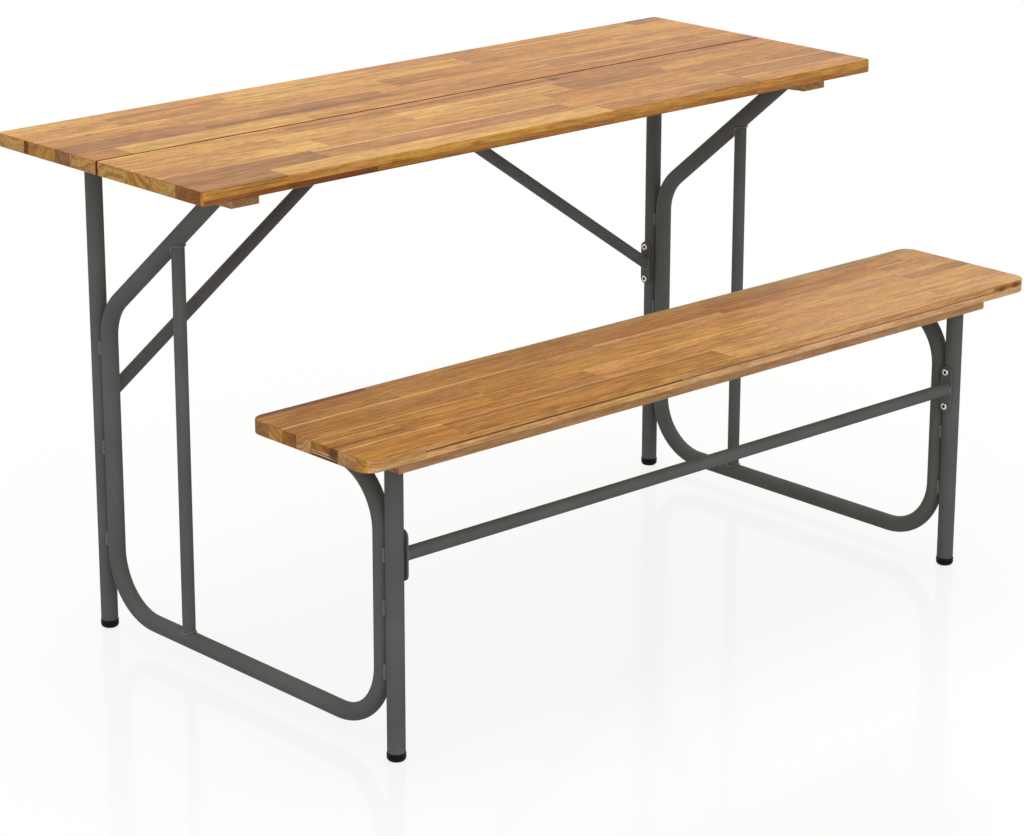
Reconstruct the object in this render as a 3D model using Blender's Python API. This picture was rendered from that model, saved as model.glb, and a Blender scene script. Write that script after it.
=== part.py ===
"""A balcony picnic table: a table top of two planks and a narrow bench, carried by two
end frames of bent and straight steel tube with a pair of braces and a cross bar.

Blender 4.5, metres, +Z up. X runs along the table, the bench is on the -Y side and the
feet stand on Z = 0. Run it with blender --background --python part.py.
"""

from math import acos, atan2, ceil, cos, pi, radians, sin, sqrt, tan

import bmesh
import bpy
from mathutils import Vector

# Clearance left between two pieces that touch
FIT = 0.0003

# Table top
TABLE_LENGTH = 1.300
TABLE_HEIGHT = 0.740
PLANK_DEPTH = 0.237
PLANK_THICKNESS = 0.020
PLANK_GAP = 0.004
TABLE_CORNER = 0.008
GAP_CORNER = 0.002
EDGE_ROUND = 0.0015

# Bench
BENCH_DEPTH = 0.242
SEAT_HEIGHT = 0.454
SEAT_THICKNESS = 0.020
BENCH_CORNER = 0.021

# Battens under the planks
TABLE_BATTEN_WIDTH = 0.048
TABLE_BATTEN_THICKNESS = 0.020
TABLE_BATTEN_INSET = 0.032
MIDDLE_BATTEN_LENGTH = 0.320
BENCH_BATTEN_OVERHANG = 0.022
BENCH_BATTEN_WIDTH = 0.060
BENCH_BATTEN_THICKNESS = 0.020
BENCH_BATTEN_INSET = 0.023
BATTEN_ROUND = 0.001

# Where the end frames stand
TABLE_END_OVERHANG = 0.094
BENCH_END_OVERHANG = 0.094
LEG_SPREAD = 0.650
REAR_OVERHANG = 0.096
FRONT_OVERHANG = 0.060

# Tube stock of the frames, and the thinner stock of strut, braces and cross bar
TUBE_RADIUS = 0.0125
TUBE_WALL = 0.0015
THIN_RADIUS = 0.0095
THIN_WALL = 0.0012
TUBE_SIDES = 16
THIN_SIDES = 14

# Bent side tube
RUN_HEIGHT = 0.0375
LOW_BEND = 0.090
SEAT_BEND = 0.086
KNEE_BEND = 0.080
KNEE_HEIGHT = 0.484
DIAGONAL_INSET = 0.102
ARM_SETBACK = 0.030
BEND_STEP = radians(11.25)
STRUT_SETBACK = 0.1955

# Weld beads, three on each upright: how far the top one is below the knee or the arm, how
# far the low one is above the floor run, and how far the middle one is above halfway
BEAD_RADIUS = 0.0026
BEAD_OFFSET = 0.0068
BEAD_LENGTH = 0.023
BEAD_SIDES = 6
REAR_BEADS = (0.054, 0.1045, -0.005)
FRONT_BEADS = (0.1139, 0.0865, 0.0085)
FILLET = 0.0013

# Plates between the tubes and the wood
TOP_PLATE_LENGTH = 0.076
TOP_PLATE_WIDTH = 0.030
HEAD_PLATE_LENGTH = 0.128
PLATE_THICKNESS = 0.003
PLATE_SIDES = 6

# Plates that bolt the braces and the cross bar to the legs
BOLT_PLATE_LENGTH = 0.072
BOLT_PLATE_WIDTH = 0.0205
BOLT_SPACING = 0.054
BRACE_LOW_HEIGHT = 0.355
BRACE_TOP_OFFSET = 0.040
BAR_HEIGHT = 0.286

# Socket head screws
BOLT_RADIUS = 0.003
BOLT_LENGTH = 0.014
BOLT_HEAD_RADIUS = 0.0053
BOLT_HEAD_HEIGHT = 0.0034
BOLT_SOCKET_WIDTH = 0.004
BOLT_SOCKET_DEPTH = 0.0020
BOLT_SIDES = 12
COLLAR_RADIUS = 0.0048
COLLAR_LENGTH = 0.0055

# Wood screws
WOOD_SCREW_RADIUS = 0.0021
WOOD_SCREW_HEAD_RADIUS = 0.0042
WOOD_SCREW_HEAD_HEIGHT = 0.0026
WOOD_SCREW_LENGTH = 0.034
WOOD_SCREW_POINT = 0.005
WOOD_SCREW_SIDES = 8
ARM_SCREW_LENGTH = 0.057
LEG_SCREW_SPACING = 0.054
DIAGONAL_SCREWS = (0.029, 0.047)
SIDE_SCREWS = (0.028, 0.046)
HEAD_SCREW_OFFSET = 0.013
HOLE_SIDES = 10

# Foot caps and the plugs in the arms of the side tubes
CAP_RADIUS = 0.0133
CAP_HEIGHT = 0.012
CAP_FLAT_RADIUS = 0.0085
CAP_STEM = 0.020
PLUG_FLANGE = 0.0016
RIB_DEPTH = 0.0008

# Colours as linear RGB, with roughness and metallic
STEEL_GREY = ((0.075, 0.075, 0.070), 0.42, 0.35)
ACACIA_TOP = ((0.560, 0.320, 0.150), 0.50, 0.0)
ACACIA_BENCH = ((0.520, 0.280, 0.120), 0.50, 0.0)
ACACIA_BATTEN = ((0.470, 0.290, 0.150), 0.60, 0.0)
BLACK_PLASTIC = ((0.012, 0.012, 0.012), 0.50, 0.0)
NICKEL = ((0.660, 0.620, 0.550), 0.28, 1.0)
ZINC = ((0.560, 0.560, 0.540), 0.35, 1.0)

# Places worked out from the sizes above
TABLE_DEPTH = 2 * PLANK_DEPTH + PLANK_GAP
OVERALL_DEPTH = FRONT_OVERHANG + LEG_SPREAD + REAR_OVERHANG
TABLE_BACK = OVERALL_DEPTH / 2
TABLE_FRONT = TABLE_BACK - TABLE_DEPTH
BENCH_FRONT = -OVERALL_DEPTH / 2
BENCH_BACK = BENCH_FRONT + BENCH_DEPTH
FRAME_X = TABLE_LENGTH / 2 - TABLE_END_OVERHANG
BENCH_LENGTH = 2 * (FRAME_X + BENCH_END_OVERHANG)
BENCH_BATTEN_LENGTH = 2 * (FRAME_X + BENCH_BATTEN_OVERHANG)
REAR_LEG_Y = TABLE_BACK - REAR_OVERHANG
FRONT_LEG_Y = BENCH_FRONT + FRONT_OVERHANG
REAR_TUBE_Y = REAR_LEG_Y - 2 * TUBE_RADIUS - FIT
FRONT_TUBE_Y = FRONT_LEG_Y + 2 * TUBE_RADIUS + FIT
DIAGONAL_TOP_Y = TABLE_FRONT + DIAGONAL_INSET
ARM_END_Y = BENCH_BACK - ARM_SETBACK
STRUT_Y = REAR_LEG_Y - STRUT_SETBACK
TABLE_UNDER = TABLE_HEIGHT - PLANK_THICKNESS
TABLE_BATTEN_UNDER = TABLE_UNDER - FIT - TABLE_BATTEN_THICKNESS
TABLE_PLATE_UNDER = TABLE_BATTEN_UNDER - FIT - PLATE_THICKNESS
SEAT_UNDER = SEAT_HEIGHT - SEAT_THICKNESS
BENCH_BATTEN_UNDER = SEAT_UNDER - FIT - BENCH_BATTEN_THICKNESS
BENCH_PLATE_UNDER = BENCH_BATTEN_UNDER - FIT - PLATE_THICKNESS
ARM_HEIGHT = BENCH_BATTEN_UNDER - FIT - TUBE_RADIUS
FRONT_BATTEN_Y = BENCH_FRONT + BENCH_BATTEN_INSET + BENCH_BATTEN_WIDTH / 2
REAR_BATTEN_Y = BENCH_BACK - BENCH_BATTEN_INSET - BENCH_BATTEN_WIDTH / 2
ARM_SCREW_Y = REAR_BATTEN_Y + BENCH_BATTEN_WIDTH / 8
MIDDLE_BATTEN_Y = TABLE_BACK - TABLE_BATTEN_INSET - MIDDLE_BATTEN_LENGTH / 2
BOLT_PLATE_X = FRAME_X - TUBE_RADIUS - FIT - PLATE_THICKNESS / 2
THIN_END_X = BOLT_PLATE_X - PLATE_THICKNESS / 2 - FIT

X_AXIS = Vector((1, 0, 0))
Y_AXIS = Vector((0, 1, 0))
Z_AXIS = Vector((0, 0, 1))
SIDES = {"left": -1, "right": 1}


def clear_scene():
    for item in list(bpy.data.objects):
        bpy.data.objects.remove(item, do_unlink=True)


def make_material(name, finish):
    color, roughness, metallic = finish
    material = bpy.data.materials.new(name)
    material.use_nodes = True
    shader = material.node_tree.nodes["Principled BSDF"]
    shader.inputs["Base Color"].default_value = (*color, 1.0)
    shader.inputs["Roughness"].default_value = roughness
    shader.inputs["Metallic"].default_value = metallic
    material.diffuse_color = (*color, 1.0)
    return material


# Meshes built from rings of points

def ring_around(center, side, up, radius, count):
    """A ring of points round center, in the plane of side and up."""
    turns = [2 * pi * (k + 0.5) / count for k in range(count)]
    return [center + radius * (cos(t) * side + sin(t) * up) for t in turns]


def skin_rings(rings, closed=False):
    """Joins each ring to the next. A closed skin joins the last ring to the first one,
    an open skin is capped at both ends."""
    mesh = bmesh.new()
    loops = [[mesh.verts.new(point) for point in ring] for ring in rings]
    pairs = list(zip(loops, loops[1:]))
    if closed:
        pairs.append((loops[-1], loops[0]))
    for lower, upper in pairs:
        for k, vertex in enumerate(lower):
            following = (k + 1) % len(lower)
            mesh.faces.new((vertex, lower[following], upper[following], upper[k]))
    if not closed:
        mesh.faces.new(loops[0])
        mesh.faces.new(loops[-1])
    bmesh.ops.recalc_face_normals(mesh, faces=mesh.faces)
    return mesh


def add_object(name, mesh, material=None, origin=(0, 0, 0)):
    """Turns a bmesh built round the world origin into an object placed at origin."""
    data = bpy.data.meshes.new(name)
    bmesh.ops.translate(mesh, verts=mesh.verts, vec=-Vector(origin))
    mesh.to_mesh(data)
    mesh.free()
    data.shade_smooth()
    data.set_sharp_from_angle(angle=radians(35))
    item = bpy.data.objects.new(name, data)
    item.location = origin
    if material:
        data.materials.append(material)
    bpy.context.scene.collection.objects.link(item)
    return item


def add_cutter(name, mesh):
    cutter = add_object(name, mesh)
    cutter.hide_render = True
    cutter.display_type = "WIRE"
    return cutter


def apply_boolean(target, cutter, operation="DIFFERENCE"):
    boolean = target.modifiers.new(cutter.name, "BOOLEAN")
    boolean.object = cutter
    boolean.operation = operation
    boolean.solver = "EXACT"


def merge_meshes(parts):
    """Gathers several bmeshes into the first one."""
    whole = parts[0]
    for part in parts[1:]:
        data = bpy.data.meshes.new("part")
        part.to_mesh(data)
        part.free()
        whole.from_mesh(data)
        bpy.data.meshes.remove(data)
    return whole


def rod(start, end, radius, count):
    """A straight round rod."""
    axis = (end - start).normalized()
    side = axis.orthogonal().normalized()
    up = axis.cross(side)
    return skin_rings([ring_around(p, side, up, radius, count) for p in (start, end)])


def drill(target, holes):
    """Cuts round holes, each given as its two ends and its radius."""
    cutter = add_cutter(target.name + "_holes",
                        merge_meshes([rod(a, b, radius, HOLE_SIDES) for a, b, radius in holes]))
    apply_boolean(target, cutter)


# Wooden pieces

def rounded_outline(size_x, size_y, corners, z, steps=4):
    """A rectangle round the origin. corners holds the radii, counter-clockwise from +X +Y."""
    points = []
    signs = ((1, 1), (-1, 1), (-1, -1), (1, -1))
    for turn, ((sx, sy), radius) in enumerate(zip(signs, corners)):
        center = Vector((sx * (size_x / 2 - radius), sy * (size_y / 2 - radius), z))
        for k in range(steps + 1):
            angle = (turn + k / steps) * pi / 2
            points.append(center + radius * Vector((cos(angle), sin(angle), 0)))
    return points


def board(name, center, size, corners, edge, material):
    """A board with rounded corners and softened edges. center is the middle of its underside."""
    outlines = [rounded_outline(size[0], size[1], corners, z) for z in (0, size[2])]
    mesh = skin_rings(outlines)
    bmesh.ops.translate(mesh, verts=mesh.verts, vec=center)
    item = add_object(name, mesh, material, center)
    bevel = item.modifiers.new("edge_round", "BEVEL")
    bevel.width = edge
    bevel.segments = 2
    bevel.limit_method = "ANGLE"
    bevel.angle_limit = radians(50)
    return item


def build_planks(material_top, material_bench):
    """The two table planks and the seat plank."""
    step = (PLANK_DEPTH + PLANK_GAP) / 2
    middle = (TABLE_BACK + TABLE_FRONT) / 2
    size = (TABLE_LENGTH, PLANK_DEPTH, PLANK_THICKNESS)
    rear = board("table_plank_rear", (0, middle + step, TABLE_UNDER), size,
                 (TABLE_CORNER, TABLE_CORNER, GAP_CORNER, GAP_CORNER), EDGE_ROUND, material_top)
    front = board("table_plank_front", (0, middle - step, TABLE_UNDER), size,
                  (GAP_CORNER, GAP_CORNER, TABLE_CORNER, TABLE_CORNER), EDGE_ROUND, material_top)
    seat = board("seat_plank", (0, (BENCH_FRONT + BENCH_BACK) / 2, SEAT_UNDER),
                 (BENCH_LENGTH, BENCH_DEPTH, SEAT_THICKNESS), (BENCH_CORNER,) * 4, EDGE_ROUND,
                 material_bench)
    return rear, front, seat


def build_battens(material):
    """Three battens across the table top and two along the bench."""
    length = TABLE_DEPTH - 2 * TABLE_BATTEN_INSET
    middle = (TABLE_BACK + TABLE_FRONT) / 2
    corners = (BATTEN_ROUND * 2,) * 4
    size = (TABLE_BATTEN_WIDTH, length, TABLE_BATTEN_THICKNESS)
    table = [board("table_batten_" + side, (sign * FRAME_X, middle, TABLE_BATTEN_UNDER), size,
                   corners, BATTEN_ROUND, material) for side, sign in SIDES.items()]
    table.append(board("table_batten_middle", (0, MIDDLE_BATTEN_Y, TABLE_BATTEN_UNDER),
                       (TABLE_BATTEN_WIDTH, MIDDLE_BATTEN_LENGTH, TABLE_BATTEN_THICKNESS),
                       corners, BATTEN_ROUND, material))
    size = (BENCH_BATTEN_LENGTH, BENCH_BATTEN_WIDTH, BENCH_BATTEN_THICKNESS)
    places = {"front": FRONT_BATTEN_Y, "rear": REAR_BATTEN_Y}
    bench = [board("bench_batten_" + name, (0, y, BENCH_BATTEN_UNDER), size, corners,
                   BATTEN_ROUND, material) for name, y in places.items()]
    return table, bench


# Tubes

def bend_path(points, radii):
    """Rounds the inner corners of a line of points with arcs of the given radii."""
    path = [points[0]]
    for before, corner, after, radius in zip(points, points[1:], points[2:], radii):
        inward = (before - corner).normalized()
        outward = (after - corner).normalized()
        half = acos(inward.dot(outward)) / 2
        center = corner + (inward + outward).normalized() * radius / sin(half)
        start = corner + inward * radius / tan(half) - center
        end = corner + outward * radius / tan(half) - center
        sweep = pi - 2 * half
        steps = max(2, ceil(sweep / BEND_STEP))
        for k in range(steps + 1):
            share = k / steps
            toward = sin((1 - share) * sweep) * start + sin(share * sweep) * end
            path.append(center + toward / sin(sweep))
    path.append(points[-1])
    return path


def slide_to_plane(points, direction, on_plane, normal):
    """Moves points along direction until they lie in a plane."""
    return [p + direction * ((on_plane - p).dot(normal) / direction.dot(normal)) for p in points]


def tube_rings(path, side, radius, count, cuts, fillets):
    """Rings of points along a path that lies square to side. cuts holds the normals of the two
    end planes and fillets the radius that a weld adds at each end."""
    rings = []
    last = len(path) - 1
    for k, point in enumerate(path):
        back = (point - path[max(k - 1, 0)]).normalized()
        forward = (path[min(k + 1, last)] - point).normalized()
        along = (back + forward).normalized()
        stretch = 1 / along.dot(forward if k < last else back)
        rings.append(ring_around(point, side, along.cross(side) * stretch, radius, count))
    for end, inner, sign in ((0, 1, 1), (last, last - 1, -1)):
        along = (path[inner] - path[end]).normalized()
        normal = cuts[0 if end == 0 else 1] or along
        rings[end] = slide_to_plane(rings[end], along, path[end], normal)
    return add_fillets(rings, path, fillets)


def add_fillets(rings, path, fillets):
    """Flares the end rings outwards like the fillet of a weld."""
    start, end = fillets
    if start:
        along = (path[1] - path[0]).normalized()
        neck = [p + along * start * 1.5 for p in rings[0]]
        rings = [widen(rings[0], path[0], start), neck] + rings[1:]
    if end:
        along = (path[-2] - path[-1]).normalized()
        neck = [p + along * end * 1.5 for p in rings[-1]]
        rings = rings[:-1] + [neck, widen(rings[-1], path[-1], end)]
    return rings


def widen(ring, center, extra):
    return [p + (p - center).normalized() * extra for p in ring]


def tube(name, path, side, radius, wall, count, material, cuts=(None, None), fillets=(0, 0)):
    """A hollow tube swept along a path, open at both ends."""
    outer = tube_rings(path, side, radius, count, cuts, fillets)
    inner = tube_rings(path, side, radius - wall, count, cuts, (0, 0))
    return add_object(name, skin_rings(outer + inner[::-1], closed=True), material, path[0])


def side_tube_path(x):
    """From under the table's front plank down the diagonal, the knee and the rear upright,
    along the floor run, up the front upright and back under the bench."""
    corners = [(DIAGONAL_TOP_Y, TABLE_PLATE_UNDER - FIT), (REAR_TUBE_Y, KNEE_HEIGHT),
               (REAR_TUBE_Y, RUN_HEIGHT), (FRONT_TUBE_Y, RUN_HEIGHT),
               (FRONT_TUBE_Y, ARM_HEIGHT), (ARM_END_Y, ARM_HEIGHT)]
    points = [Vector((x, y, z)) for y, z in corners]
    return bend_path(points, (KNEE_BEND, LOW_BEND, LOW_BEND, SEAT_BEND))


def bead(x, y, z):
    """A short upright weld bead with rounded ends."""
    radius = BEAD_RADIUS
    half = BEAD_LENGTH / 2
    profile = [(0.35, -half), (0.85, -half + radius * 0.5), (1.0, -half + radius * 1.2),
               (1.0, half - radius * 1.2), (0.85, half - radius * 0.5), (0.35, half)]
    return skin_rings([ring_around(Vector((x, y, z + dz)), X_AXIS, Y_AXIS, radius * share,
                                   BEAD_SIDES) for share, dz in profile])


def weld_beads(item, pair, x, leg_y, tube_y, heights):
    """Beads on both faces of a leg and upright pair, fused to the bent tube and cut clear
    of the leg."""
    contact = (leg_y + tube_y) / 2
    beads = [bead(x + sign * BEAD_OFFSET, contact, z) for z in heights for sign in (-1, 1)]
    label = f"{item.name}_{pair}"
    apply_boolean(item, add_cutter(label + "_beads", merge_meshes(beads)), "UNION")
    low = Vector((x, leg_y, min(heights) - BEAD_LENGTH))
    high = Vector((x, leg_y, max(heights) + BEAD_LENGTH))
    rings = [ring_around(p, X_AXIS, Y_AXIS, TUBE_RADIUS + FIT, TUBE_SIDES) for p in (low, high)]
    apply_boolean(item, add_cutter(label + "_leg_clearance", skin_rings(rings)))


def bead_heights(upright_top, places):
    drop, rise, shift = places
    highest = upright_top - drop
    lowest = RUN_HEIGHT + rise
    return highest, (highest + lowest) / 2 + shift, lowest


def build_side_tube(side, material):
    x = SIDES[side] * FRAME_X
    item = tube("side_tube_" + side, side_tube_path(x), X_AXIS, TUBE_RADIUS, TUBE_WALL,
                TUBE_SIDES, material, cuts=(Z_AXIS, None), fillets=(FILLET, 0))
    rear = bead_heights(KNEE_HEIGHT, REAR_BEADS)
    front = bead_heights(ARM_HEIGHT, FRONT_BEADS)
    weld_beads(item, "rear", x, REAR_LEG_Y, REAR_TUBE_Y, rear)
    weld_beads(item, "front", x, FRONT_LEG_Y, FRONT_TUBE_Y, front)
    return item


def build_leg(name, x, y, top, bolt_heights, material):
    """A straight leg with threaded collars for two bolts on its inner side."""
    path = [Vector((x, y, CAP_HEIGHT + FIT)), Vector((x, y, top))]
    leg = tube(name, path, X_AXIS, TUBE_RADIUS, TUBE_WALL, TUBE_SIDES, material,
               fillets=(0, FILLET))
    inward = -X_AXIS if x > 0 else X_AXIS
    face = Vector((x, y, 0)) + inward * (TUBE_RADIUS - TUBE_WALL / 2)
    inner_end = face - inward * (TUBE_WALL / 2 + COLLAR_LENGTH)
    outer_end = face + inward * TUBE_WALL
    collars = [rod(face + Z_AXIS * z, inner_end + Z_AXIS * z, COLLAR_RADIUS, HOLE_SIDES)
               for z in bolt_heights]
    apply_boolean(leg, add_cutter(name + "_collars", merge_meshes(collars)), "UNION")
    drill(leg, [(outer_end + Z_AXIS * z, inner_end - inward * TUBE_WALL + Z_AXIS * z,
                 BOLT_RADIUS + FIT) for z in bolt_heights])
    return leg


def saddle_heights(x_offset):
    """Where a vertical line, x_offset from the frame's plane, meets the floor run below and the
    diagonal above, each held off by the clearance."""
    reach = sqrt((TUBE_RADIUS + FIT) ** 2 - x_offset ** 2)
    slope = atan2(TABLE_PLATE_UNDER - FIT - KNEE_HEIGHT, REAR_TUBE_Y - DIAGONAL_TOP_Y)
    return RUN_HEIGHT + reach, slope, reach


def strut_rings(center, radius, neck):
    """Rings of the strut, coped to the tubes at both ends. neck is how far they stand back."""
    rings = ([], [])
    for point in ring_around(Vector((0, 0, 0)), X_AXIS, Y_AXIS, radius, THIN_SIDES):
        low, slope, reach = saddle_heights(point.x)
        y = center.y + point.y
        middle = KNEE_HEIGHT + (REAR_TUBE_Y - y) * tan(slope)
        rings[0].append(Vector((center.x + point.x, y, low + neck)))
        rings[1].append(Vector((center.x + point.x, y, middle - reach / cos(slope) - neck)))
    return rings


def build_strut(side, material):
    """The thin upright between the floor run and the diagonal."""
    center = Vector((SIDES[side] * FRAME_X, STRUT_Y, 0))
    low_bead, high_bead = strut_rings(center, THIN_RADIUS + FILLET, 0)
    low_neck, high_neck = strut_rings(center, THIN_RADIUS, 2 * FILLET)
    low_bore, high_bore = strut_rings(center, THIN_RADIUS - THIN_WALL, 0)
    rings = [low_bead, low_neck, high_neck, high_bead, high_bore, low_bore]
    return add_object("strut_" + side, skin_rings(rings, closed=True), material,
                      center + Z_AXIS * RUN_HEIGHT)


def build_brace(side, material):
    """From the bolt plate on the rear leg up to the head plate in the middle."""
    sign = SIDES[side]
    path = [Vector((sign * THIN_END_X, REAR_LEG_Y, BRACE_LOW_HEIGHT)),
            Vector((sign * BRACE_TOP_OFFSET, REAR_LEG_Y, TABLE_PLATE_UNDER - FIT))]
    return tube("brace_" + side, path, Y_AXIS, THIN_RADIUS, THIN_WALL, THIN_SIDES, material,
                cuts=(X_AXIS, Z_AXIS), fillets=(FILLET / 2, FILLET / 2))


def build_cross_bar(material):
    path = [Vector((sign * THIN_END_X, FRONT_LEG_Y, BAR_HEIGHT)) for sign in (-1, 1)]
    return tube("cross_bar", path, Y_AXIS, THIN_RADIUS, THIN_WALL, THIN_SIDES, material,
                fillets=(FILLET / 2, FILLET / 2))


# Plates

def obround(length, width, z):
    """A bar with fully rounded ends along X, round the origin."""
    points = []
    for sign in (1, -1):
        center = Vector((sign * (length - width) / 2, 0, z))
        for k in range(PLATE_SIDES + 1):
            angle = (k / PLATE_SIDES - 0.5) * pi + (pi if sign < 0 else 0)
            points.append(center + width / 2 * Vector((cos(angle), sin(angle), 0)))
    return points


def plate(name, center, along, across, length, width, material):
    """A flat plate with round ends. center is the middle of its thickness."""
    mesh = skin_rings([obround(length, width, z) for z in (-PLATE_THICKNESS / 2,
                                                           PLATE_THICKNESS / 2)])
    normal = along.cross(across)
    for vertex in mesh.verts:
        x, y, z = vertex.co
        vertex.co = center + along * x + across * y + normal * z
    return add_object(name, mesh, material, center)


def build_bolt_plate(name, x, y, z, material):
    """An upright plate on the inner side of a leg, with its two bolt holes."""
    center = Vector((x, y, z))
    item = plate(name, center, Z_AXIS, Y_AXIS, BOLT_PLATE_LENGTH, BOLT_PLATE_WIDTH, material)
    half = X_AXIS * PLATE_THICKNESS
    spots = [center + Z_AXIS * sign * BOLT_SPACING / 2 for sign in (-1, 1)]
    drill(item, [(spot - half, spot + half, BOLT_RADIUS + FIT) for spot in spots])
    return item


def build_top_plate(name, center, along, length, spots, material):
    """A flat plate under a batten, with a hole at each wood screw."""
    item = plate(name, center, along, Z_AXIS.cross(along), length, TOP_PLATE_WIDTH, material)
    half = Z_AXIS * PLATE_THICKNESS
    holes = [Vector((x, y, center.z)) for x, y in spots]
    drill(item, [(hole - half, hole + half, WOOD_SCREW_RADIUS + FIT) for hole in holes])
    return item


# Fasteners

def hexagon_ring(center, side, up, width, count):
    """A hexagon across flats of width, with count points on its outline."""
    points = []
    for k in range(count):
        angle = 2 * pi * (k + 0.5) / count
        reach = width / 2 / cos((angle + pi / 6) % (pi / 3) - pi / 6)
        points.append(center + reach * (cos(angle) * side + sin(angle) * up))
    return points


def bolt(name, seat, outward, material):
    """A round-headed screw with a hexagon socket. seat is where its head meets the plate."""
    side = Y_AXIS
    up = outward.cross(side)
    height = BOLT_HEAD_HEIGHT
    profile = [(BOLT_RADIUS * 0.75, -BOLT_LENGTH), (BOLT_RADIUS, -BOLT_LENGTH + BOLT_RADIUS / 3),
               (BOLT_RADIUS, 0), (BOLT_HEAD_RADIUS, 0), (BOLT_HEAD_RADIUS, height * 0.55),
               (BOLT_HEAD_RADIUS * 0.92, height * 0.85), (BOLT_HEAD_RADIUS * 0.78, height)]
    rings = [ring_around(seat + outward * z, side, up, radius, BOLT_SIDES)
             for radius, z in profile]
    rings += [hexagon_ring(seat + outward * z, side, up, BOLT_SOCKET_WIDTH, BOLT_SIDES)
              for z in (height, height - BOLT_SOCKET_DEPTH)]
    return add_object(name, skin_rings(rings), material, seat)


def wood_screw(name, seat, length, material):
    """A pan-headed wood screw that points up. seat is where its head meets the steel."""
    height = WOOD_SCREW_HEAD_HEIGHT
    head = WOOD_SCREW_HEAD_RADIUS
    profile = [(head * 0.55, -height), (head * 0.88, -height * 0.8), (head, -height * 0.35),
               (head, 0), (WOOD_SCREW_RADIUS, 0), (WOOD_SCREW_RADIUS, length - WOOD_SCREW_POINT),
               (WOOD_SCREW_RADIUS * 0.15, length)]
    rings = [ring_around(seat + Z_AXIS * z, X_AXIS, Y_AXIS, radius, WOOD_SCREW_SIDES)
             for radius, z in profile]
    return add_object(name, skin_rings(rings), material, seat)


def wood_screw_places():
    """The name, x, y, seat height and length of each wood screw."""
    places = []
    for side, sign in SIDES.items():
        x = sign * FRAME_X
        for k, shift in enumerate((-1, 1)):
            y = REAR_LEG_Y + shift * LEG_SCREW_SPACING / 2
            places.append((f"screw_rear_leg_{side}_{k + 1}", x, y, TABLE_PLATE_UNDER,
                           WOOD_SCREW_LENGTH))
        for k, shift in enumerate(DIAGONAL_SCREWS):
            places.append((f"screw_diagonal_{side}_{k + 1}", x, DIAGONAL_TOP_Y - shift,
                           TABLE_PLATE_UNDER, WOOD_SCREW_LENGTH))
        for k, shift in enumerate(SIDE_SCREWS):
            places.append((f"screw_front_leg_{side}_{k + 1}", x - sign * shift, FRONT_LEG_Y,
                           BENCH_PLATE_UNDER, WOOD_SCREW_LENGTH))
        places.append((f"screw_arm_{side}", x, ARM_SCREW_Y, ARM_HEIGHT - TUBE_RADIUS,
                       ARM_SCREW_LENGTH))
        places.append((f"screw_head_plate_{side}", sign * HEAD_SCREW_OFFSET, REAR_LEG_Y,
                       TABLE_PLATE_UNDER, WOOD_SCREW_LENGTH))
    return places


def drill_for_screws(target, places):
    """Drills a wooden piece wherever a wood screw goes into it."""
    points = [target.location + vertex.co for vertex in target.data.vertices]
    low, high = ([pick(p[axis] for p in points) for axis in range(3)] for pick in (min, max))
    holes = []
    for _, x, y, seat, length in places:
        if low[0] < x < high[0] and low[1] < y < high[1] and seat < high[2] < seat + 3 * length:
            tip = min(seat + length, high[2] + WOOD_SCREW_POINT)
            holes.append((Vector((x, y, seat)), Vector((x, y, tip)), WOOD_SCREW_RADIUS + FIT))
    drill(target, holes)


# Caps and plugs

def build_foot_cap(name, x, y, material):
    """A rounded foot with a ribbed stem in the leg's bore."""
    bore = TUBE_RADIUS - TUBE_WALL - FIT
    edge = CAP_HEIGHT - CAP_HEIGHT / 3
    core = bore - RIB_DEPTH
    rounding = CAP_RADIUS - CAP_FLAT_RADIUS
    profile = [(CAP_FLAT_RADIUS, 0)]
    profile += [(CAP_FLAT_RADIUS + rounding * sin(t), edge * (1 - cos(t)))
                for t in (radians(30), radians(60), radians(90))]
    profile += [(CAP_RADIUS, CAP_HEIGHT), (core, CAP_HEIGHT), (core, CAP_HEIGHT + CAP_STEM * 0.2),
                (bore, CAP_HEIGHT + CAP_STEM * 0.3), (core, CAP_HEIGHT + CAP_STEM * 0.5),
                (bore, CAP_HEIGHT + CAP_STEM * 0.6), (core, CAP_HEIGHT + CAP_STEM * 0.8),
                (core * 0.85, CAP_HEIGHT + CAP_STEM)]
    rings = [ring_around(Vector((x, y, z)), X_AXIS, Y_AXIS, radius, TUBE_SIDES)
             for radius, z in profile]
    return add_object(name, skin_rings(rings), material, Vector((x, y, 0)))


def build_arm_plug(side, material):
    """A flat plug in the open end of the arm under the bench."""
    x = SIDES[side] * FRAME_X
    bore = TUBE_RADIUS - TUBE_WALL - FIT
    end = ARM_END_Y + FIT
    profile = [(bore * 0.85, -CAP_STEM * 0.5), (bore, -CAP_STEM * 0.4), (bore, 0),
               (TUBE_RADIUS, 0), (TUBE_RADIUS, PLUG_FLANGE * 0.5),
               (TUBE_RADIUS * 0.9, PLUG_FLANGE)]
    rings = [ring_around(Vector((x, end + shift, ARM_HEIGHT)), Z_AXIS, X_AXIS, radius,
                         TUBE_SIDES) for radius, shift in profile]
    return add_object("arm_plug_" + side, skin_rings(rings), material,
                      Vector((x, end, ARM_HEIGHT)))


# Assembly

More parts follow.
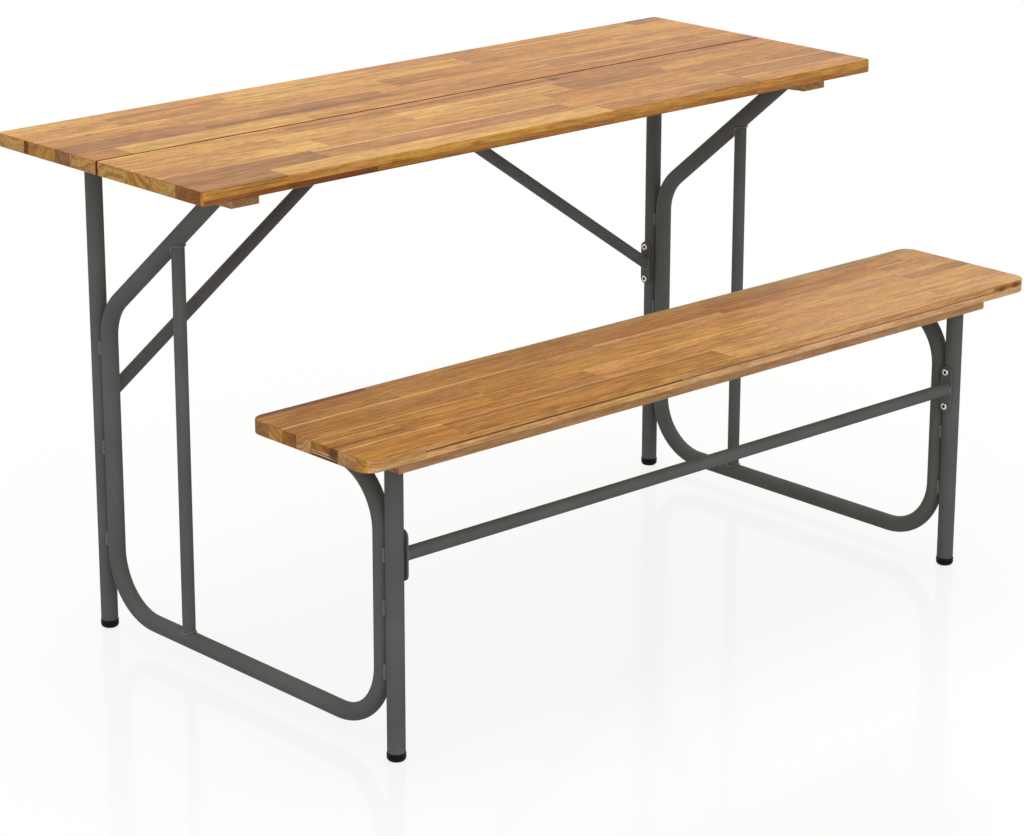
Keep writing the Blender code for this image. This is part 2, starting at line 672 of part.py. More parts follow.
def build_top_plates(material, places):
    """The plates that carry the table and the bench on the legs and diagonals."""
    table_z = TABLE_PLATE_UNDER + PLATE_THICKNESS / 2
    bench_z = BENCH_PLATE_UNDER + PLATE_THICKNESS / 2
    spots = {name: (x, y) for name, x, y, _, _ in places}
    for side, sign in SIDES.items():
        x = sign * FRAME_X
        reach = TOP_PLATE_LENGTH / 2 - TUBE_RADIUS - FILLET
        rows = (("rear_leg", Vector((x, REAR_LEG_Y, table_z)), Y_AXIS),
                ("diagonal", Vector((x, DIAGONAL_TOP_Y - reach + THIN_RADIUS, table_z)), Y_AXIS),
                ("front_leg", Vector((x - sign * reach, FRONT_LEG_Y, bench_z)), X_AXIS))
        for part, center, along in rows:
            holes = [spots[f"screw_{part}_{side}_{k}"] for k in (1, 2)]
            build_top_plate(f"{part}_plate_{side}", center, along, TOP_PLATE_LENGTH, holes,
                            material)
    holes = [spots["screw_head_plate_" + side] for side in SIDES]
    build_top_plate("brace_head_plate", Vector((0, REAR_LEG_Y, table_z)), X_AXIS,
                    HEAD_PLATE_LENGTH, holes, material)


def build_bolted_joint(name, sign, y, z, steel, nickel):
    """The plate at one end of a brace or of the cross bar, and its two bolts."""
    build_bolt_plate(f"{name}_plate", sign * BOLT_PLATE_X, y, z, steel)
    outward = -sign * X_AXIS
    for k, shift in enumerate((-1, 1)):
        seat = Vector((sign * THIN_END_X, y, z + shift * BOLT_SPACING / 2))
        bolt(f"{name}_bolt_{k + 1}", seat, outward, nickel)


def build_frame(side, steel, plastic, nickel, places):
    """One end frame with its feet, and what bolts to it."""
    sign = SIDES[side]
    x = sign * FRAME_X
    shifts = (-BOLT_SPACING / 2, BOLT_SPACING / 2)
    build_leg("rear_leg_" + side, x, REAR_LEG_Y, TABLE_PLATE_UNDER - FIT,
              [BRACE_LOW_HEIGHT + shift for shift in shifts], steel)
    build_leg("front_leg_" + side, x, FRONT_LEG_Y, BENCH_PLATE_UNDER - FIT,
              [BAR_HEIGHT + shift for shift in shifts], steel)
    side_tube = build_side_tube(side, steel)
    arm = [(Vector((sx, sy, seat - TUBE_RADIUS)), Vector((sx, sy, seat + 3 * TUBE_RADIUS)),
            WOOD_SCREW_RADIUS + FIT) for name, sx, sy, seat, _ in places
           if name == "screw_arm_" + side]
    drill(side_tube, arm)
    build_strut(side, steel)
    build_brace(side, steel)
    build_foot_cap("rear_foot_cap_" + side, x, REAR_LEG_Y, plastic)
    build_foot_cap("front_foot_cap_" + side, x, FRONT_LEG_Y, plastic)
    build_arm_plug(side, plastic)
    build_bolted_joint("brace_" + side, sign, REAR_LEG_Y, BRACE_LOW_HEIGHT, steel, nickel)
    build_bolted_joint("bar_" + side, sign, FRONT_LEG_Y, BAR_HEIGHT, steel, nickel)


def main():
    clear_scene()
    steel = make_material("powder_coated_steel", STEEL_GREY)
    plastic = make_material("black_plastic", BLACK_PLASTIC)
    nickel = make_material("nickel_bolt", NICKEL)
    zinc = make_material("zinc_screw", ZINC)
    places = wood_screw_places()
    planks = build_planks(make_material("acacia_top", ACACIA_TOP),
                          make_material("acacia_bench", ACACIA_BENCH))
    table_battens, bench_battens = build_battens(make_material("acacia_batten", ACACIA_BATTEN))
    for wood in (*planks, *table_battens, *bench_battens):
        drill_for_screws(wood, places)
    for side in SIDES:
        build_frame(side, steel, plastic, nickel, places)
    build_cross_bar(steel)
    build_top_plates(steel, places)
    for name, x, y, seat, length in places:
        wood_screw(name, Vector((x, y, seat - FIT)), length, zinc)


main()
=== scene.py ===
from collections import namedtuple
from dataclasses import dataclass
from math import acos, atan2, ceil, cos, pi, radians, sin, sqrt, tan

import bmesh
import bpy
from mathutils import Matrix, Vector


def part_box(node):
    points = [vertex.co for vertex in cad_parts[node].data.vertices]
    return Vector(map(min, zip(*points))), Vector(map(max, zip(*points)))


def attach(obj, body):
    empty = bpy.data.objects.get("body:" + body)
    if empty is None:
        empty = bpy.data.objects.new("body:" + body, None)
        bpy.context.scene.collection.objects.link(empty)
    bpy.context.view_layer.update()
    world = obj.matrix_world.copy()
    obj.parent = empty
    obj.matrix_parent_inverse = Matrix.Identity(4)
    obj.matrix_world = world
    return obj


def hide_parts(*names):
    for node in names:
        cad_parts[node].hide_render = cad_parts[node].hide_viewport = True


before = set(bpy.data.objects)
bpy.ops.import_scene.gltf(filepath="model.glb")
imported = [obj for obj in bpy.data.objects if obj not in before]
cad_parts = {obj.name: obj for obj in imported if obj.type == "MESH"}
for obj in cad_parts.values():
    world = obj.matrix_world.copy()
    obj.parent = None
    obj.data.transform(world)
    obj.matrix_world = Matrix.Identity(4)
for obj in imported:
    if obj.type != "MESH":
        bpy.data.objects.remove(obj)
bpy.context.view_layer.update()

X_AXIS = Vector((1, 0, 0))
Y_AXIS = Vector((0, 1, 0))
Z_AXIS = Vector((0, 0, 1))
SIDES = {"left": -1, "right": 1}
MM = 0.001

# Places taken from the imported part
FIT = 0.0003
FRAME_X = 0.556
REAR_LEG_Y = 0.307
FRONT_LEG_Y = -0.343
TUBE_RADIUS = 0.0125
TUBE_WALL = 0.0015
THIN_RADIUS = 0.0095
THIN_WALL = 0.0012
REAR_TUBE_Y = REAR_LEG_Y - 2 * TUBE_RADIUS - FIT
FRONT_TUBE_Y = FRONT_LEG_Y + 2 * TUBE_RADIUS + FIT
TABLE_PLATE_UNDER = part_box("rear_leg_plate_left")[0].z
BENCH_PLATE_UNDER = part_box("front_leg_plate_left")[0].z
RUN_HEIGHT = 0.0375
KNEE_HEIGHT = 0.484
DIAGONAL_TOP_Y = 0.027
ARM_END_Y = -0.191
ARM_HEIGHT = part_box("bench_batten_front")[0].z - FIT - TUBE_RADIUS
BENDS = (0.080, 0.090, 0.090, 0.086)
STRUT_Y = REAR_LEG_Y - 0.1955
REAR_BEADS = (0.430, 0.281, 0.142)
FRONT_BEADS = (0.287, 0.214, 0.124)
BEAD_LENGTH = 0.023
BEAD_OFFSET = 0.0071
BEAD_RADIUS = 0.0031
BEAD_RIPPLES = 6.0
BEAD_SWAY = 0.00025
BEAD_STEPS = 44
BEAD_SIDES = 14
PLATE_THICKNESS = 0.003
BOLT_PLATE_LENGTH = 0.072
BOLT_PLATE_WIDTH = 0.0205
BOLT_SPACING = 0.054
BRACE_LOW_HEIGHT = 0.355
BRACE_TOP_OFFSET = 0.040
BAR_HEIGHT = 0.286
BOLT_PLATE_X = FRAME_X - TUBE_RADIUS - FIT - PLATE_THICKNESS / 2
THIN_END_X = BOLT_PLATE_X - PLATE_THICKNESS / 2 - FIT
BOLT_PLATE_BEVEL = 0.0006
BOLT_LENGTH = 0.014
BOLT_CHAMFER = 0.001
BOLT_RADIUS = 0.0030
BOLT_TIP_RADIUS = 0.0022
BOLT_HEAD_RADIUS = 0.0053
BOLT_HEAD_HEIGHT = 0.0034
BOLT_RIM = 0.0013
BOLT_SOCKET = 0.0046
SOCKET_DEPTH = 0.002
BOLT_SIDES = 36
CAP_RADIUS = 0.0133
CAP_HEIGHT = 0.012
CAP_SOLE_RADIUS = 0.0085
CAP_EDGE = 0.0058
CAP_STEM_RADIUS = 0.0106
CAP_STEM_TIP_RADIUS = 0.0080
CAP_STEM = 0.019
TUBE_SIDES = 48
BEND_STEP = radians(3.5)
WELD_RADIUS = 0.0019
WELD_SIDES = 8
PLATE_WELD_RADIUS = WELD_RADIUS * 0.8
LEG_WELD_LIFT = WELD_RADIUS * 0.4
THIN_WELD_LIFT = 0.0008
STRUT_WELD_OUT = 0.0002
STRUT_WELD_IN = 0.0006


def tint(*levels):
    """An sRGB colour, 0 to 255, as linear RGBA."""
    return (*(((level / 255 + 0.055) / 1.055) ** 2.4 for level in levels), 1.0)


# Tones of the acacia
STRAW = tint(224, 172, 94)
TAN = tint(209, 150, 77)
AMBER = tint(205, 143, 71)
ROSE = tint(192, 132, 71)
BROWN = tint(189, 129, 65)
UMBER = tint(169, 114, 63)
HONEY = tint(190, 134, 64)
OCHRE = tint(190, 136, 72)
COCOA = tint(177, 123, 62)
CLAY = tint(204, 149, 86)
GILT = tint(207, 154, 86)
SIENNA = tint(183, 129, 74)
COPPER = tint(160, 102, 64)
RUST = tint(130, 78, 50)
SAGE = tint(170, 130, 72)
FAWN = tint(207, 156, 100)
BUFF = tint(218, 168, 112)
DARK = tint(120, 73, 56)
WHEAT = tint(196, 160, 100)
OLIVE = tint(233, 200, 150)
SAND = tint(213, 163, 120)
CREAM = tint(226, 180, 141)
WALNUT = tint(165, 117, 86)
CORN = tint(217, 164, 92)
IVORY = tint(237, 188, 150)
PEACH = tint(227, 171, 124)
LICHEN = tint(255, 238, 210)
LINEN = tint(229, 180, 126)
SAPWOOD = tint(238, 194, 124)
PALE = tint(246, 226, 196)
HEARTWOOD = tint(112, 62, 34)
# Not a tone of the wood: painted shade for the faces down in the gap between the table's planks.
SHADOW = tint(128, 64, 20)
PURPLE = tint(84, 48, 46)

Lamella = namedtuple("Lamella", "end left right streak sap dark knot")
Block = namedtuple("Block", "end layers pith knot dark")


def lamella(end, left, right=None, streak=1.0, sap=None, dark=None, knot=None):
    """One stave. end is where it stops, in mm from the board's left end, and its colour runs
    from left to right. streak is how strong its pattern is. sap and dark are pale and dark
    strips along it: where they start and stop, in mm from the stave's rear edge, and how
    strong they are. knot is its place in mm, from the board's rear left corner and down from
    the top, and its radius."""
    return Lamella(end, left, right or left, streak, sap, dark, knot)


def block(end, *layers, pith=(20, 40), knot=None, dark=None):
    """A piece of a board's edge, up to end in mm, in layers from the top: depth in mm and tone.
    pith is where its growth rings have their middle, in mm from the piece's own middle. knot
    and dark are as for a stave, but the dark strip is given in mm down from the top."""
    return Block(end, layers, pith, knot, dark)


def plain(end, tone, **marks):
    """A piece of an edge in one tone."""
    return block(end, (20, tone), **marks)


# Rows of staves from each board's rear edge: where a row ends, in mm, and its staves
REAR_PLANK = (
    (34, (lamella(375, STRAW, TAN, 0.8), lamella(655, STRAW, TAN, 0.8, sap=(25, 29)),
          lamella(905, AMBER, ROSE), lamella(1222, TAN, TAN, 0.9, sap=(28, 36)),
          lamella(1300, BROWN, ROSE, 1.1, dark=(-4, 11, 0.8)))),
    (88, (lamella(155, AMBER, TAN, 1.2, sap=(0, 3), knot=(88, 35, 0, 4)),
          lamella(370, TAN, TAN, 1.1, dark=(0, 3)), lamella(820, STRAW, TAN, 0.9, sap=(8, 12)),
          lamella(1300, BROWN, TAN, 0.9))),
    (140, (lamella(230, BROWN, AMBER, 1.2, sap=(1, 8), knot=(85, 100, 0, 3)),
           lamella(620, TAN, TAN, 0.8, sap=(49, 53)), lamella(1112, BROWN, AMBER, 0.9),
           lamella(1300, TAN, AMBER, 0.9, sap=(-2, 3)))),
    (189, (lamella(235, UMBER, UMBER, 1.3), lamella(575, ROSE, ROSE, 1.3, dark=(30, 45)),
           lamella(895, AMBER, TAN, 0.9), lamella(1232, BROWN, BROWN, 0.9, sap=(0, 6)),
           lamella(1300, TAN))),
    (237, (lamella(65, AMBER, BROWN), lamella(385, STRAW, STRAW, 0.7),
           lamella(895, TAN, AMBER, 0.9), lamella(1300, BROWN, ROSE, 0.9, sap=(8, 11)))),
)
FRONT_PLANK = (
    (43, (lamella(312, TAN, TAN, 1.1, sap=(0, 4)), lamella(500, BROWN, BROWN, 1.3, dark=(16, 22)),
          lamella(820, BROWN, AMBER, 1.4, dark=(14, 20)),
          lamella(1300, ROSE, ROSE, 1.2, dark=(33, 36), knot=(822, 18, 0, 12)))),
    (93, (lamella(260, TAN, sap=(-1, 3)), lamella(490, STRAW, TAN, 0.8),
          lamella(800, STRAW, TAN, 0.8, sap=(0, 5)), lamella(1005, UMBER, BROWN, 1.1),
          lamella(1300, TAN, AMBER, knot=(1254, 44, 0, 4)))),
    (143, (lamella(295, TAN, STRAW, 0.9), lamella(735, TAN, TAN, 0.7),
           lamella(1300, AMBER, BROWN, dark=(1, 4)))),
    (194, (lamella(253, UMBER, UMBER, 0.9), lamella(712, ROSE, ROSE, 0.9, sap=(1, 9)),
           lamella(1050, AMBER, TAN, 0.9), lamella(1300, BROWN, UMBER, sap=(-2, 5)))),
    (237, (lamella(143, UMBER, UMBER, 1.1), lamella(297, STRAW, STRAW, 0.7),
           lamella(743, STRAW, STRAW, 0.7), lamella(1050, ROSE, ROSE, 1.1),
           lamella(1300, TAN, sap=(-2, 4)))),
)
# The seat's staves run darker and browner at the left and lighter at the right: partly the wood's
# own tone, partly painted shade and reflection of the table top above.
SEAT_PLANK = (
    (22, (lamella(192, COCOA, dark=(-4, 13, 0.8)), lamella(720, OCHRE, SAGE, 1.1),
          lamella(1300, SAGE, WHEAT, 1.1))),
    (73, (lamella(205, COCOA, COCOA, 1.2, sap=(46, 51, 0.55)),
          lamella(560, OCHRE, COCOA, 1.1, sap=(46, 52, 0.40)),
          lamella(815, COCOA, sap=(42, 51, 0.45)), lamella(1167, COCOA, BROWN, 1.1),
          lamella(1237, OCHRE, sap=(30, 33)), lamella(1300, CLAY))),
    (132, (lamella(295, COCOA, COCOA, 1.1, sap=(55, 59, 0.35)), lamella(760, COCOA, CLAY),
           lamella(1162, CLAY, FAWN, 0.9, sap=(56, 59)),
           lamella(1300, FAWN, FAWN, 1.1, dark=(34, 60, 0.45)))),
    (188, (lamella(121, COCOA, COCOA, 1.3, sap=(16, 19, 0.45), dark=(36, 45)),
           lamella(467, HONEY, OCHRE, 1.1), lamella(820, CLAY, sap=(8, 11)),
           lamella(1300, CLAY, FAWN, 0.8))),
    (242, (lamella(168, HONEY, HONEY, 0.9, sap=(-2, 5, 0.55)),
           lamella(668, COCOA, OCHRE, 1.2, sap=(-1, 3, 0.40), dark=(6, 12, 0.4)),
           lamella(1130, FAWN, FAWN, 0.9), lamella(1300, FAWN, BUFF, 0.9))),
)
BENCH_BATTEN = ((60, (lamella(26, CREAM), lamella(315, LICHEN, SAND),
                      lamella(793, IVORY), lamella(1156, CREAM, OLIVE))),)
REAR_BENCH_BATTEN = ((60, (lamella(402, COCOA, OLIVE), lamella(877, OLIVE, CLAY),
                           lamella(1156, COCOA, OLIVE))),)
TABLE_BATTEN = ((48, (lamella(1000, OLIVE, OLIVE, 1.1),)),)

# What shows on the front edges, from the left, and on the left ends, from the rear
# The rear plank's face inside the gap takes SHADOW: painted shade.
GAP_WALL = (plain(1300, SHADOW),)
TABLE_FRONT = (
    block(143, (12, GILT), (20, COPPER), dark=(4.6, 5.8, 0.5)),
    block(297, (11.5, GILT), (20, RUST), dark=(17, 20, 0.5)),
    block(743, (10, CORN), (20, SIENNA), dark=(18, 21, 0.7)),
    block(1042, (11, GILT), (20, SIENNA), dark=(18.4, 21, 0.6)),
    block(1300, (11, GILT), (20, SIENNA), dark=(18.6, 21, 0.5)),
)
SEAT_FRONT = (
    block(98, (12, PEACH), (20, IVORY), dark=(7, 7.8, 0.4)),
    block(560, (9.5, FAWN), (20, LINEN), dark=(8.0, 10.4, 0.95)),
    block(1222, (9.5, SAND), (20, CREAM), dark=(8.2, 9.7, 0.9)),
    block(1256, (9.5, CLAY), (20, CREAM), knot=(1239, 240, 7, 6.5), dark=(3.5, 8.5, 0.4)),
    block(1300, (9.5, CLAY), (20, CREAM), knot=(1271, 240, 6, 6.5), dark=(3, 8, 0.4)),
)
TABLE_REAR_END = (
    plain(63, BUFF, pith=(10, 60)), plain(66, SAPWOOD),
    plain(77, DARK), plain(142, GILT, pith=(40, -25)),
    plain(178, WALNUT), plain(181, SAPWOOD), plain(237, BUFF, pith=(0, 70)),
)
TABLE_FRONT_END = (
    plain(62, BUFF, pith=(15, -50)), plain(65, SAPWOOD),
    plain(120, CORN, pith=(30, 25)), plain(173, BUFF, pith=(4, 24)),
    plain(177, SAPWOOD), plain(231, COPPER, pith=(12, -9)), plain(237, TAN),
)
SEAT_END = (
    plain(43, WALNUT, pith=(8, -14)), plain(71, CORN),
    plain(100, UMBER, pith=(20, 30)), plain(130, SAND, pith=(-6, 20)),
    block(185, (11.3, COCOA), (12.5, PALE), (14.4, DARK), (15.6, PALE), (20, DARK),
          knot=(0, 175, 5, 11)),
    plain(188, SAPWOOD), plain(220, SAND), plain(242, CLAY),
)

# corners are radii in mm, and edge the rounding in mm at the rear, at the front and elsewhere.
# grain is how strong the grain shows
Board = namedtuple("Board", "node rows corners edge along grain front left")
SOFTENED = ((2, 2, 2, 2), (1, 1, 1))
BOARDS = (
    Board("table_plank_rear", REAR_PLANK, (8, 8, 2, 2), (1.5, 0.3, 1.5), "X", 1.6, GAP_WALL,
          TABLE_REAR_END),
    Board("table_plank_front", FRONT_PLANK, (2, 2, 8, 8), (0.3, 1.5, 1.5), "X", 1.6, TABLE_FRONT,
          TABLE_FRONT_END),
    Board("seat_plank", SEAT_PLANK, (21, 21, 21, 21), (1.7, 1.7, 1.7), "X", 1.0, SEAT_FRONT,
          SEAT_END),
    Board("bench_batten_front", BENCH_BATTEN, *SOFTENED, "X", 0.65, (), ()),
    Board("bench_batten_rear", REAR_BENCH_BATTEN, *SOFTENED, "X", 0.65, (), ()),
    Board("table_batten_left", TABLE_BATTEN, *SOFTENED, "Y", 0.8, (), ()),
    Board("table_batten_right", TABLE_BATTEN, *SOFTENED, "Y", 0.8, (), ()),
    Board("table_batten_middle", TABLE_BATTEN, *SOFTENED, "Y", 0.8, (), ()),
)


# A place or a distance that no face reaches
FAR = 99
# A strip's usual strength
STRIP_STRENGTH = 0.6
# How far apart in the pattern boards and staves are cut
SEED_SPREAD = 3.0
BOARD_SEED_STEP = 5.0
BLOCK_SEED_STEP = 0.37
# Where a stave's pith may lie, to either side and above or below
PITH_SWAY = 0.12
PITH_NEAR = 0.03
PITH_RANGE = 0.08
FRONT_PITH_Y = 0.04
# How strong the pattern is on left ends and front edges
END_STREAK = 1.2
FRONT_STREAK = 0.85
# Draws the middle of an outer face a little way into the board, to find its stave
INWARD = 0.9999
# How far flat, front and left faces point that way at least
FLAT_RISE = 0.4
FRONT_FACING = 0.5
LEFT_FACING = 0.7

# Colours that the wood's own tone is multiplied by or mixed with
WARM_LOW = (0.97, 0.965, 0.70, 1)
WARM_HIGH = (0.98, 0.92, 0.84, 1)
VALUE_LOW = (0.66, 0.58, 0.52, 1)
VALUE_HIGH = (1.22, 1.26, 1.30, 1)
PORE = (0.10, 0.045, 0.02, 1)
END_GRAIN = (0.20, 0.10, 0.02, 1)
GLUE = (0.16, 0.07, 0.03, 1)

COAT_DEEP = tint(95, 96, 94)
COAT_LIGHT = tint(103, 104, 102)
COAT_SPECK = tint(125, 125, 121)
PLASTIC_BLACK = (0.010, 0.010, 0.010, 1)
PLASTIC_SCUFF = (0.026, 0.025, 0.024, 1)
NICKEL = (0.80, 0.75, 0.62, 1)
NICKEL_DULL = (0.48, 0.44, 0.35, 1)
ZINC = (0.62, 0.62, 0.60, 1)
ZINC_DULL = (0.42, 0.42, 0.41, 1)
WHITE = (1, 1, 1, 1)


# Shader networks

class Net:
    """The nodes of a material or of the world, with short calls to add and join them."""

    def __init__(self, owner):
        self.owner = owner
        self.tree = owner.node_tree
        self.tree.nodes.clear()
        kind = "World" if isinstance(owner, bpy.types.World) else "Material"
        self.output = self.add("Output" + kind)

    def add(self, kind, inputs=(), **settings):
        node = self.tree.nodes.new("ShaderNode" + kind)
        for key, value in settings.items():
            setattr(node, key, value)
        for key, value in dict(inputs).items():
            self.put(node.inputs[key], value)
        return node

    def put(self, socket, value):
        if isinstance(value, bpy.types.NodeSocket):
            self.tree.links.new(value, socket)
        else:
            socket.default_value = value

    def fill(self, node, *values):
        """Gives a node's first inputs their values, and returns its first output."""
        for socket, value in zip(node.inputs, values):
            self.put(socket, value)
        return node.outputs[0]

    def math(self, operation, *values):
        return self.fill(self.add("Math", operation=operation), *values)

    def plus(self, first, second):
        return self.math("ADD", first, second)

    def minus(self, first, second):
        return self.math("SUBTRACT", first, second)

    def times(self, first, second):
        return self.math("MULTIPLY", first, second)

    def noise(self, place, scale, detail=2.0, roughness=0.5, color=False):
        """Noise over place, stretched by scale, a number of waves per metre on each axis."""
        spread = self.fill(self.add("VectorMath", operation="MULTIPLY"), place, scale)
        node = self.add("TexNoise", {"Vector": spread, "Scale": 1.0, "Detail": detail,
                                     "Roughness": roughness})
        return node.outputs["Color" if color else "Fac"]

    def bands(self, distance, scale):
        """Irregular bands along a distance, scale of them per metre."""
        node = self.add("TexNoise", {"W": self.times(distance, scale), "Scale": 1.0,
                                     "Detail": 2.0, "Roughness": 0.6}, noise_dimensions="1D")
        return node.outputs["Fac"]

    def fade(self, value, start, end):
        """Goes smoothly from 0 to 1 as value goes from start to end."""
        node = self.add("MapRange", interpolation_type="SMOOTHSTEP")
        return self.fill(node, value, start, end)

    def mix(self, factor, first, second, blend="MIX"):
        inputs = {0: factor, 6: first, 7: second}
        return self.add("Mix", inputs, data_type="RGBA", blend_type=blend).outputs[2]

    def parts(self, vector):
        return self.add("SeparateXYZ", {0: vector}).outputs

    def join(self, x, y, z):
        return self.fill(self.add("CombineXYZ"), x, y, z)

    def attribute(self, name, kind="Vector"):
        return self.add("Attribute", attribute_name=name).outputs[kind]

    def swing(self, value, reach):
        """A noise turned into an offset, to either side of zero."""
        return self.times(self.minus(value, 0.5), reach)

    def bump(self, height, strength, distance):
        node = self.add("Bump", {"Height": height, "Strength": strength, "Distance": distance})
        return node.outputs[0]

    def finish(self, **inputs):
        shader = self.add("BsdfPrincipled")
        for key, value in inputs.items():
            self.put(shader.inputs[key.replace("_", " ")], value)
        self.show(shader)
        return self.owner

    def show(self, shader):
        self.put(self.output.inputs["Surface"], shader.outputs[0])

    def blend(self, share, first, second):
        return self.add("MixShader", {0: share, 1: first.outputs[0], 2: second.outputs[0]})


def new_net(name):
    material = bpy.data.materials.new(name)
    material.use_nodes = True
    return Net(material)


def wood_material(name, along):
    """Edge-glued acacia. The pattern is cut from growth rings round a pith that each stave
    has for itself, so faces, edges and end grain belong together."""
    n = new_net(name)
    x, y, z = n.parts(n.add("TexCoord").outputs["Object"])
    if along == "Y":
        x, y = y, x
    seed, pith_y, pith_z = n.parts(n.attribute("pith"))
    streak, first_x, last_x = n.parts(n.attribute("reach"))
    place = n.join(n.plus(x, seed), n.plus(y, seed), z)
    drift = n.parts(n.noise(place, (2.6, 12, 12), 2.0, color=True))
    knot_core, knot_bend = knot_pull(n, x, y, z, drift[2])

    ring_y = n.plus(n.minus(y, pith_y), n.plus(n.swing(drift[0], 0.030), knot_bend))
    ring_z = n.plus(n.minus(z, pith_z), n.swing(drift[1], 0.030))
    ring = n.math("SQRT", n.plus(n.times(ring_y, ring_y), n.times(ring_z, ring_z)))
    ring = n.plus(ring, seed)
    rings = n.bands(ring, 150.0)
    lines = n.bands(ring, 520.0)
    patches = n.noise(place, (3.0, 16, 16), 1.0)
    clouds = n.noise(place, (8.0, 48, 48), 3.0, 0.6)
    streaks = n.noise(place, (9.0, 130, 130), 2.0)
    strands = n.noise(place, (28.0, 400, 400), 3.0, 0.7)
    flecks = n.fade(n.noise(place, (26.0, 620, 620), 2.0), 0.58, 0.70)
    fibres = n.noise(place, (70.0, 1900, 1900), 2.0)
    pores = n.fade(n.noise(place, (75.0, 2300, 2300), 1.0), 0.62, 0.72)
    normal = n.parts(n.add("NewGeometry").outputs["True Normal"])
    ends = n.fade(n.math("ABSOLUTE", normal[1 if along == "Y" else 0]), 0.75, 0.95)
    upright = n.fade(n.math("ABSOLUTE", normal[2]), 0.45, 0.35)

    value = 0.5
    ring_weight = n.math("MULTIPLY_ADD", ends, 1.1, 0.30)
    line_weight = n.math("MULTIPLY_ADD", ends, 0.5, 0.25)
    for layer, weight in ((rings, ring_weight), (lines, line_weight), (patches, 0.45),
                          (clouds, 0.55), (streaks, 0.60), (strands, 1.50), (fibres, 0.60)):
        change = n.times(n.minus(layer, 0.5), weight)
        value = n.plus(value, n.times(change, streak))
    color = n.attribute("tone", "Color")
    warm = n.fade(n.noise(place, (5.0, 30, 30), 2.0), 0.35, 0.65)
    color = n.mix(1.0, color, n.mix(warm, WARM_LOW, WARM_HIGH), "MULTIPLY")
    shade = n.mix(n.fade(value, 0.15, 0.85), VALUE_LOW, VALUE_HIGH)
    color = n.mix(1.0, color, shade, "MULTIPLY")

    # Strips of sapwood and dark gum, straighter on upright edges than on the faces
    wander = n.plus(n.swing(clouds, 0.006), n.swing(drift[2], 0.010))
    wander = n.times(wander, n.minus(1.0, n.times(upright, 0.8)))
    across = n.plus(y, n.times(upright, n.minus(z, y)))
    for strip_name, target in (("sap", SAPWOOD), ("dark", HEARTWOOD)):
        middle, half, strength = n.parts(n.attribute(strip_name))
        away = n.math("ABSOLUTE", n.plus(n.minus(across, middle), wander))
        half = n.times(half, n.math("MULTIPLY_ADD", strands, 1.6, 0.1))
        soft = n.math("MULTIPLY_ADD", upright, -0.0008, 0.0014)
        strip = n.fade(n.minus(away, half), soft, n.times(soft, -1.0))
        color = n.mix(n.times(strip, strength), color, target)
    joint = glue_lines(n, x, y, first_x, last_x)
    for cover, share, target in ((knot_core, 0.9, PURPLE), (pores, 0.30, PORE),
                                 (flecks, 0.28, HEARTWOOD), (ends, 0.28, END_GRAIN),
                                 (joint, 0.35, GLUE)):
        color = n.mix(n.times(cover, share), color, target)

    grain = n.times(n.plus(fibres, strands), 0.5)
    hollow = n.plus(n.times(pores, 0.8), n.times(joint, 1.2))
    rough = n.plus(n.times(strands, 0.16), n.times(ends, 0.20))
    return n.finish(Base_Color=color, Roughness=n.plus(rough, 0.24), Specular_IOR_Level=0.06,
                    Normal=n.bump(n.minus(grain, hollow), 0.30, 0.0003))


def glue_lines(n, x, y, first_x, last_x):
    """1 in the thin joints round each stave."""
    rear_y, front_y, _ = n.parts(n.attribute("edges"))
    gaps = [n.math("ABSOLUTE", n.minus(one, other))
            for one, other in ((x, first_x), (last_x, x), (rear_y, y), (y, front_y))]
    nearest = n.math("MINIMUM", n.math("MINIMUM", *gaps[:2]), n.math("MINIMUM", *gaps[2:]))
    return n.fade(nearest, 0.0006, 0.0001)


def knot_pull(n, x, y, z, drift):
    """How dark a knot is at a place, and how far it bends the rings round itself."""
    knot_x, knot_y, knot_z = n.parts(n.attribute("knot"))
    radius = n.attribute("knot_size", "Fac")
    offset = n.join(n.times(n.minus(x, knot_x), 0.45), n.minus(y, knot_y), n.minus(z, knot_z))
    far = n.add("VectorMath", {0: offset}, operation="LENGTH")
    share = n.math("DIVIDE", far.outputs["Value"], radius)
    core = n.fade(n.plus(share, n.swing(drift, 1.6)), 1.2, 0.1)
    return core, n.times(n.fade(share, 3.5, 0.2), 0.010)


def steel_material(name, roughness, specular):
    """Fine-textured warm grey powder coat."""
    n = new_net(name)
    place = n.add("TexCoord").outputs["Object"]
    peel = n.noise(place, (700, 700, 700), 2.0)
    grain = n.noise(place, (3200, 3200, 3200), 2.0)
    cloud = n.noise(place, (9, 9, 9), 3.0)
    specks = n.fade(n.noise(place, (1500, 1500, 1500), 1.0), 0.70, 0.78)
    color = n.mix(n.fade(cloud, 0.3, 0.7), COAT_DEEP, COAT_LIGHT)
    color = n.mix(n.times(specks, 0.25), color, COAT_SPECK)
    relief = n.plus(n.times(peel, 0.7), n.times(grain, 0.3))
    rough = n.plus(n.times(n.plus(cloud, grain), 0.06), roughness)
    return n.finish(Base_Color=color, Roughness=rough, Specular_IOR_Level=specular,
                    Normal=n.bump(relief, 0.30, 0.00025))


def plastic_material():
    """Grained black plastic with duller scuffs. Screw sockets take it too, as painted shade."""
    n = new_net("moulded_black")
    place = n.add("TexCoord").outputs["Object"]
    grain = n.noise(place, (1800, 1800, 1800), 3.0)
    scuff = n.fade(n.noise(place, (60, 60, 400), 3.0), 0.55, 0.75)
    color = n.mix(n.times(scuff, 0.5), PLASTIC_BLACK, PLASTIC_SCUFF)
    rough = n.plus(n.times(scuff, 0.2), 0.40)
    return n.finish(Base_Color=color, Roughness=rough, Specular_IOR_Level=0.06,
                    Normal=n.bump(grain, 0.35, 0.0002))


